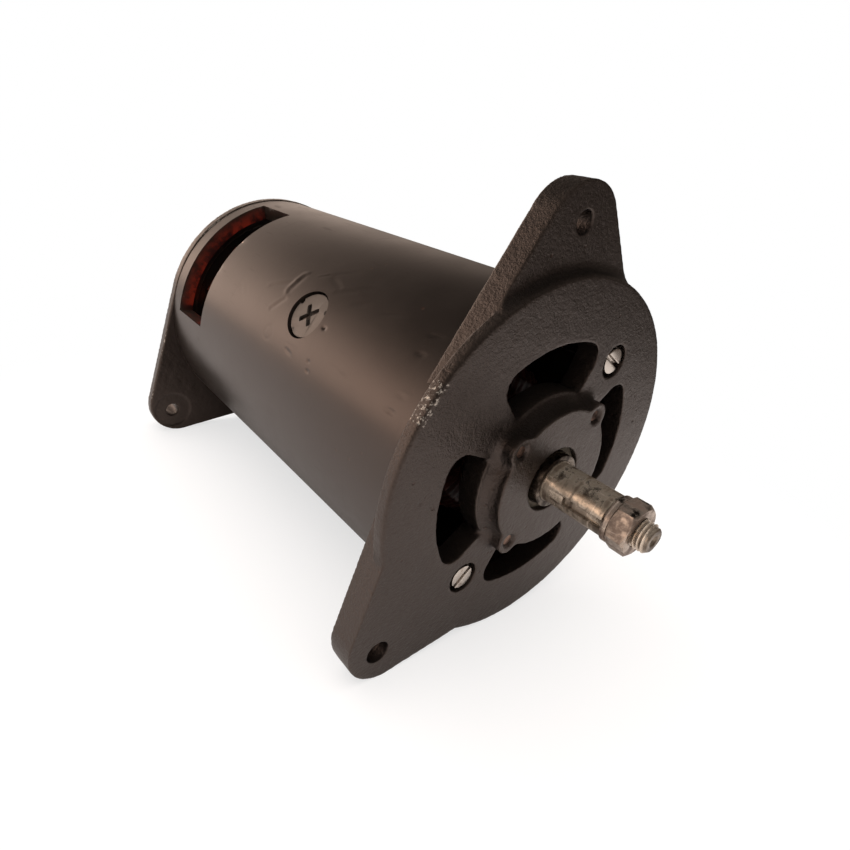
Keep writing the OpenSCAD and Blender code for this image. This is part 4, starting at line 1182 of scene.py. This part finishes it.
@dataclass
class ShaftEnd:
    """The armature shaft with its keyway and cut thread, the nut, the washer and the collar. Lengths in mm.

    The flank gives one turn of the thread: how high each point stands from root to crest, and its place
    along the pitch. The thread's end starts end_drop under the root and rises by end_slope. The core's
    steps run forward from the seat. Each of pieces has its node, name, slot, finish and the width of its
    rounded edges.
    """

    thread_r: float = 4.76
    root_r: float = 4.02
    pitch: float = 1.27
    thread_back: float = -22.6
    thread_front: float = -34.6
    thread_steps: int = 48
    end_drop: float = 0.35
    end_slope: float = 0.9
    seat_front: float = -21.9
    core_steps: Steps = ((-1.0, 4.0), (12.0, 4.0), (12.7, 3.62), (12.7, 2.0), (10.9, 0.3))
    flank: Steps = ((0, 0.0), (0, 0.1), (1, 0.55), (1, 0.72), (0, 1.17), (0, 1.27))
    pieces: tuple[tuple[str, str, str, str, float], ...] = (
        ("pulley_nut", "nut_hexagon", "nut_steel", "nut_steel", 0.3),
        ("spring_washer", "washer_split", "nut_steel", "nut_steel", 0.25),
        ("distance_collar", "collar_ring", "shaft_steel", "collar_steel", 0.35),
    )

    def thread(self) -> Obj:
        """Cuts the thread as one helix that fades into the chamfered end."""
        Bench.clear()
        bpy.ops.mesh.primitive_plane_add(size=1.0)
        cut = bpy.context.object
        cut.name = "thread"
        Bench.edit(cut)
        bpy.ops.mesh.delete(type="VERT")
        Bench.done()
        start = self.thread_front - self.pitch
        radii = (self.root_r, self.thread_r)
        outline = [(radii[high] * MM, (start + y) * MM, 0) for high, y in self.flank]
        cut.data.from_pydata(outline, [(k, k + 1) for k in range(len(outline) - 1)], [])
        turns = int((self.thread_back - self.thread_front) / self.pitch) + 1
        Bench.modify(cut, "SCREW", axis="Y", angle=2 * math.pi, screw_offset=self.pitch * MM, iterations=turns,
                     steps=self.thread_steps, render_steps=self.thread_steps, use_merge_vertices=True,
                     merge_threshold=1e-6, use_normal_calculate=True)
        Bench.edit(cut)
        bpy.ops.mesh.remove_doubles(threshold=1e-6)
        bpy.ops.mesh.bisect(plane_co=(0, self.thread_front * MM, 0), plane_no=(0, 1, 0), clear_inner=True)
        Bench.done()
        pts = Bench.points(cut)
        r = about_shaft(pts)[1]
        chamfer = self.root_r - self.end_drop + self.end_slope * (pts[:, 1] - self.thread_front)
        scale = np.minimum(np.minimum(chamfer, self.thread_r) / r, 1.0)
        pts[:, 0] *= scale
        pts[:, 2] *= scale
        Bench.put(cut, pts)
        return cut

    def shaft(self) -> Obj:
        """Joins the turned shaft, its core under the thread and the helix."""
        shaft = Bench.copy_node("armature_shaft", "shaft_turned")
        Bench.planar(shaft)
        Bench.edit(shaft)
        bpy.ops.mesh.bisect(plane_co=(0, (self.seat_front - 0.05) * MM, 0), plane_no=(0, 1, 0), use_fill=True,
                            clear_inner=True)
        Bench.done()
        Bench.round_edges(shaft, width=0.25, angle=30.0)
        seat = Vector((0, self.seat_front * MM, 0))
        core = Bench.rod("core", seat, Vector((0, -1, 0)), self.core_steps, sides=64)
        Bench.round_edges(core, width=0.12, angle=30.0)
        return Bench.join(shaft, core, self.thread())

    def build(self, finishes: Finishes) -> None:
        """Builds and dresses the shaft's end and what sits on it."""
        shaft = self.shaft()
        Bench.smooth(shaft, angle=32.0)
        pts = Bench.points(shaft)
        crest = (about_shaft(pts)[1] - self.root_r) / (self.thread_r - self.root_r)
        Bench.mask(shaft, "edge", np.where(pts[:, 1] < self.thread_back, crest, 0.0))
        Bench.fit(shaft, "armature_shaft", "armature", "shaft_steel", finishes["shaft_steel"])
        for node, name, slot, finish, width in self.pieces:
            piece = Bench.rounded_copy(node, name, width, angle=25.0)
            Bench.fit(piece, node, "armature", slot, finishes[finish])


@dataclass
class Fasteners:
    """Bolts, rivets, terminals and brush boxes: each one's node, name, slot and rounding in mm."""

    pieces: tuple[tuple[str, str, str, float], ...] = (
        ("through_bolts", "bolts_slotted", "screw_steel", 0.3),
        ("retainer_rivets", "rivets_sunk", "rivet_steel", 0.25),
        ("terminal_nuts", "terminal_nuts_round", "cage_brass", 0.25),
        ("terminal_studs", "terminal_studs_round", "cage_brass", 0.2),
        ("terminal_block", "terminal_moulding", "terminal_moulding", 0.5),
        ("brush_box_upper", "brush_box_upper_bent", "cage_brass", 0.25),
        ("brush_box_lower", "brush_box_lower_bent", "cage_brass", 0.25),
        ("box_insulators", "insulator_plates", "insulator", 0.2),
    )

    def build(self, finishes: Finishes) -> None:
        """Builds and dresses each set."""
        for node, name, slot, width in self.pieces:
            piece = Bench.rounded_copy(node, name, width, angle=30.0)
            Bench.fit(piece, node, "frame", slot, finishes[slot])


@dataclass
class Windings:
    """Taped field coils and the armature's lashed end turns. Lengths in mm.

    A lap of tape is stepped at its edge by lap, and bends round the coil's ends past half_length from
    its middle. Wires stand out of the winding by strand, outside the stretch that the core takes up.
    """

    voxel: float = 1.1
    tape: float = 7.0
    lap: float = 0.45
    coil_r: float = 45.0
    middle: float = 85.8
    half_length: float = 40.0
    wires: int = 42
    strand: float = 0.75
    core: tuple[float, float] = (43.0, 128.5)

    def _finish(self, piece: Obj, move: np.ndarray) -> None:
        """Moves a winding's skin and stores its wear."""
        Bench.push(piece, move)
        Bench.wear_masks(piece, rounds=4, reach=0.4)
        Bench.smooth(piece, angle=60.0)

    def coil(self, node: str) -> Obj:
        """Wraps one field coil in overlapping turns of tape."""
        coil = Bench.copy_node(node, node + "_taped")
        Bench.remesh(coil, self.voxel, soften=6)
        pts = Bench.points(coil)
        turn = np.arctan2(pts[:, 2], pts[:, 0]) * self.coil_r
        ends = unit((np.abs(pts[:, 1] - self.middle) - self.half_length) / 4.0)
        run = (pts[:, 1] * (1.0 - ends) + turn * ends) / self.tape
        self._finish(coil, -self.lap * (run - np.floor(run)))
        return coil

    def armature(self) -> Obj:
        """Lays wire along the armature's end windings."""
        winding = Bench.copy_node("armature_winding", "armature_turns")
        Bench.remesh(winding, self.voxel, soften=4)
        pts = Bench.points(winding)
        turn = np.arctan2(pts[:, 2], pts[:, 0])
        free = (pts[:, 1] < self.core[0]) | (pts[:, 1] > self.core[1])
        height = np.abs(np.sin(turn * self.wires / 2.0 + pts[:, 1] * 0.16))
        self._finish(winding, np.where(free, -self.strand * (1.0 - height), -0.1))
        return winding

    def build(self, finishes: Finishes) -> None:
        """Builds and dresses the windings."""
        for node in ("field_coil_upper", "field_coil_lower"):
            Bench.fit(self.coil(node), node, "frame", "winding", finishes["winding"])
        Bench.fit(self.armature(), "armature_winding", "armature", "winding", finishes["winding"])


@dataclass
class Studio:
    """The floor, the soft light, the pale surroundings and the camera. Lengths in metres.

    Each of lights has its name, place, size and power. The room's bands are heights, from straight down
    at 0 to straight up at 1, with how bright the room's reflection is there. The lamps point at aim. The
    camera's lens and sensor are in mm, its shift in shares of the sensor and its turn in degrees.
    """

    floor_z: float = -0.06545
    floor_r: float = 4.0
    floor_colour: Colour = (0.94, 0.90, 0.885)
    floor_dim: float = 0.38
    warm: Colour = (1.0, 0.80, 0.67)
    soft: Colour = (1.0, 0.96, 0.93)
    lamp_colour: Colour = (1.0, 0.97, 0.94)
    backdrop: Colour = (-0.56, 0.83, 0.0)
    room_power: float = 2.4
    aim: Colour = (0.0, 0.08, 0.0)
    lens: float = 24.3626
    sensor: float = 36.0
    shift: tuple[float, float] = (0.0585, -0.001412)
    nearest: float = 0.005
    camera_at: Colour = (-0.153296, -0.086524, 0.089802)
    camera_turn: Colour = (64.0921, -7.9609, -36.3605)
    bands: Steps = (
        (0.0, 0.10), (0.46, 0.25), (0.515, 0.95), (0.60, 1.0),
        (0.68, 0.62), (0.76, 0.16), (0.84, 0.035), (1.0, 0.03),
    )
    lights: tuple[tuple[str, Colour, float, float], ...] = (
        ("overhead", (-0.1, 0.15, 1.5), 2.4, 44.0),
        ("side", (-1.0, 0.7, 0.9), 1.2, 5.0),
    )

    def floor(self) -> None:
        """Lays a pale floor that keeps the shadow and is dimmed in reflections, most on its right."""
        Bench.clear()
        bpy.ops.mesh.primitive_circle_add(vertices=128, radius=self.floor_r, fill_type="NGON",
                                          location=(0, 0.1, self.floor_z))
        floor = bpy.context.object
        floor.name = "floor"
        Bench.settle(floor)
        shade = Shade("pale floor")
        shade.feed(self.floor_colour, "Base Color")
        shade.feed(0.9, "Roughness")
        shade.feed(0.0, "Specular IOR Level")
        path = shade.add("ShaderNodeLightPath").outputs
        away = shade.measure("DISTANCE", shade.place, (*self.aim[:2], self.floor_z))
        lift = shade.plus(shade.times(shade.ramp(away, low=0.12, high=0.26), 0.32), 0.68)
        white = shade.glow("ShaderNodeEmission", (1.0, 1.0, 1.0), 1.0)
        seen = shade.mix(shade.times(lift, path["Is Camera Ray"]), shade.surface, white)
        right = shade.times(shade.ramp(shade.part(shade.place, "X"), low=0.2, high=0.5), 0.55)
        dim = shade.times(path["Is Glossy Ray"], shade.plus(right, self.floor_dim))
        last = shade.mix(dim, seen, shade.glow("ShaderNodeEmission", self.warm, 0.1))
        shade.link(last.outputs[0], shade.tree.nodes["Material Output"].inputs["Surface"])
        floor.data.materials.append(shade.material)

    def world(self) -> None:
        """Sets white behind the object and, in its reflections, a bright low backdrop under a dark room."""
        world = bpy.data.worlds.new("studio")
        bpy.context.scene.world = world
        world.use_nodes = True
        g = Graph(world.node_tree)
        way = g.add("ShaderNodeTexCoord").outputs["Generated"]
        height = g.add("ShaderNodeValToRGB")
        ramp = height.color_ramp.elements
        while len(ramp) < len(self.bands):
            ramp.new(0.5)
        for stop, (place, level) in zip(ramp, self.bands):
            stop.position = place
            stop.color = (level, level, level, 1)
        g.link(g.plus(g.times(g.part(way, "Z"), 0.5), 0.5), height.inputs[0])
        facing = g.ramp(g.measure("DOT_PRODUCT", way, self.backdrop), low=-0.1, high=1.0)
        level = g.times(height.outputs["Color"], g.plus(g.times(facing, 0.95), 0.04))
        room = g.glow("ShaderNodeBackground", self.warm, g.times(level, self.room_power))
        soft = g.glow("ShaderNodeBackground", self.soft, 0.35)
        white = g.glow("ShaderNodeBackground", (1.0, 1.0, 1.0), 1.0)
        path = g.add("ShaderNodeLightPath").outputs
        unseen = g.mix(path["Is Glossy Ray"], soft, room)
        last = g.mix(path["Is Camera Ray"], unseen, white)
        g.link(last.outputs[0], g.tree.nodes["World Output"].inputs["Surface"])

    def lamps(self) -> None:
        """Hangs wide soft lamps that reflections don't show."""
        for name, place, size, power in self.lights:
            data = bpy.data.lights.new(name, "AREA")
            data.size = size
            data.energy = power
            data.color = self.lamp_colour
            lamp = bpy.data.objects.new(name, data)
            lamp.location = place
            toward = Vector(self.aim) - Vector(place)
            lamp.rotation_euler = toward.to_track_quat("-Z", "Y").to_euler()
            lamp.visible_glossy = False
            bpy.context.scene.collection.objects.link(lamp)

    def camera(self) -> None:
        """Sets the camera where the photograph was taken from."""
        data = bpy.data.cameras.new("camera")
        data.lens = self.lens
        data.sensor_width = self.sensor
        data.shift_x, data.shift_y = self.shift
        data.clip_start = self.nearest
        camera = bpy.data.objects.new("camera", data)
        camera.location = self.camera_at
        camera.rotation_euler = Euler([math.radians(v) for v in self.camera_turn], "XYZ")
        bpy.context.scene.collection.objects.link(camera)
        bpy.context.scene.camera = camera

    def build(self) -> None:
        """Sets the stage."""
        self.floor()
        self.world()
        self.lamps()
        self.camera()
        bpy.context.scene.view_settings.view_transform = "Standard"


def main() -> None:
    """Builds every sub-assembly in order."""
    logging.basicConfig(level=logging.INFO, format="%(name)s: %(message)s")
    finishes = Finishes()
    finishes.dress_nodes()
    Yoke().build(finishes)
    Casting("drive_end_bracket", "drive_end_casting", "bracket_paint",
            sparkle=((141.0, 158.0, 62.5, 66.5),),
            pits=((53.1, 9.3, 0.6, 0.5), (11.7, -23.1, 0.5, 0.35), (-53.1, 1.8, 0.8, 0.3)),
            shaded_bores=((-58.24, -53.37, 4.15), (-6.89, 78.7, 3.4)),
            fillet=(20.0, 36.0, 9.5)).build(finishes)
    Casting("commutator_end_bracket", "commutator_end_casting", "rear_paint", voxel=0.6).build(finishes)
    ShaftEnd().build(finishes)
    Fasteners().build(finishes)
    Windings().build(finishes)
    Studio().build()


if __name__ == "__main__":
    main()
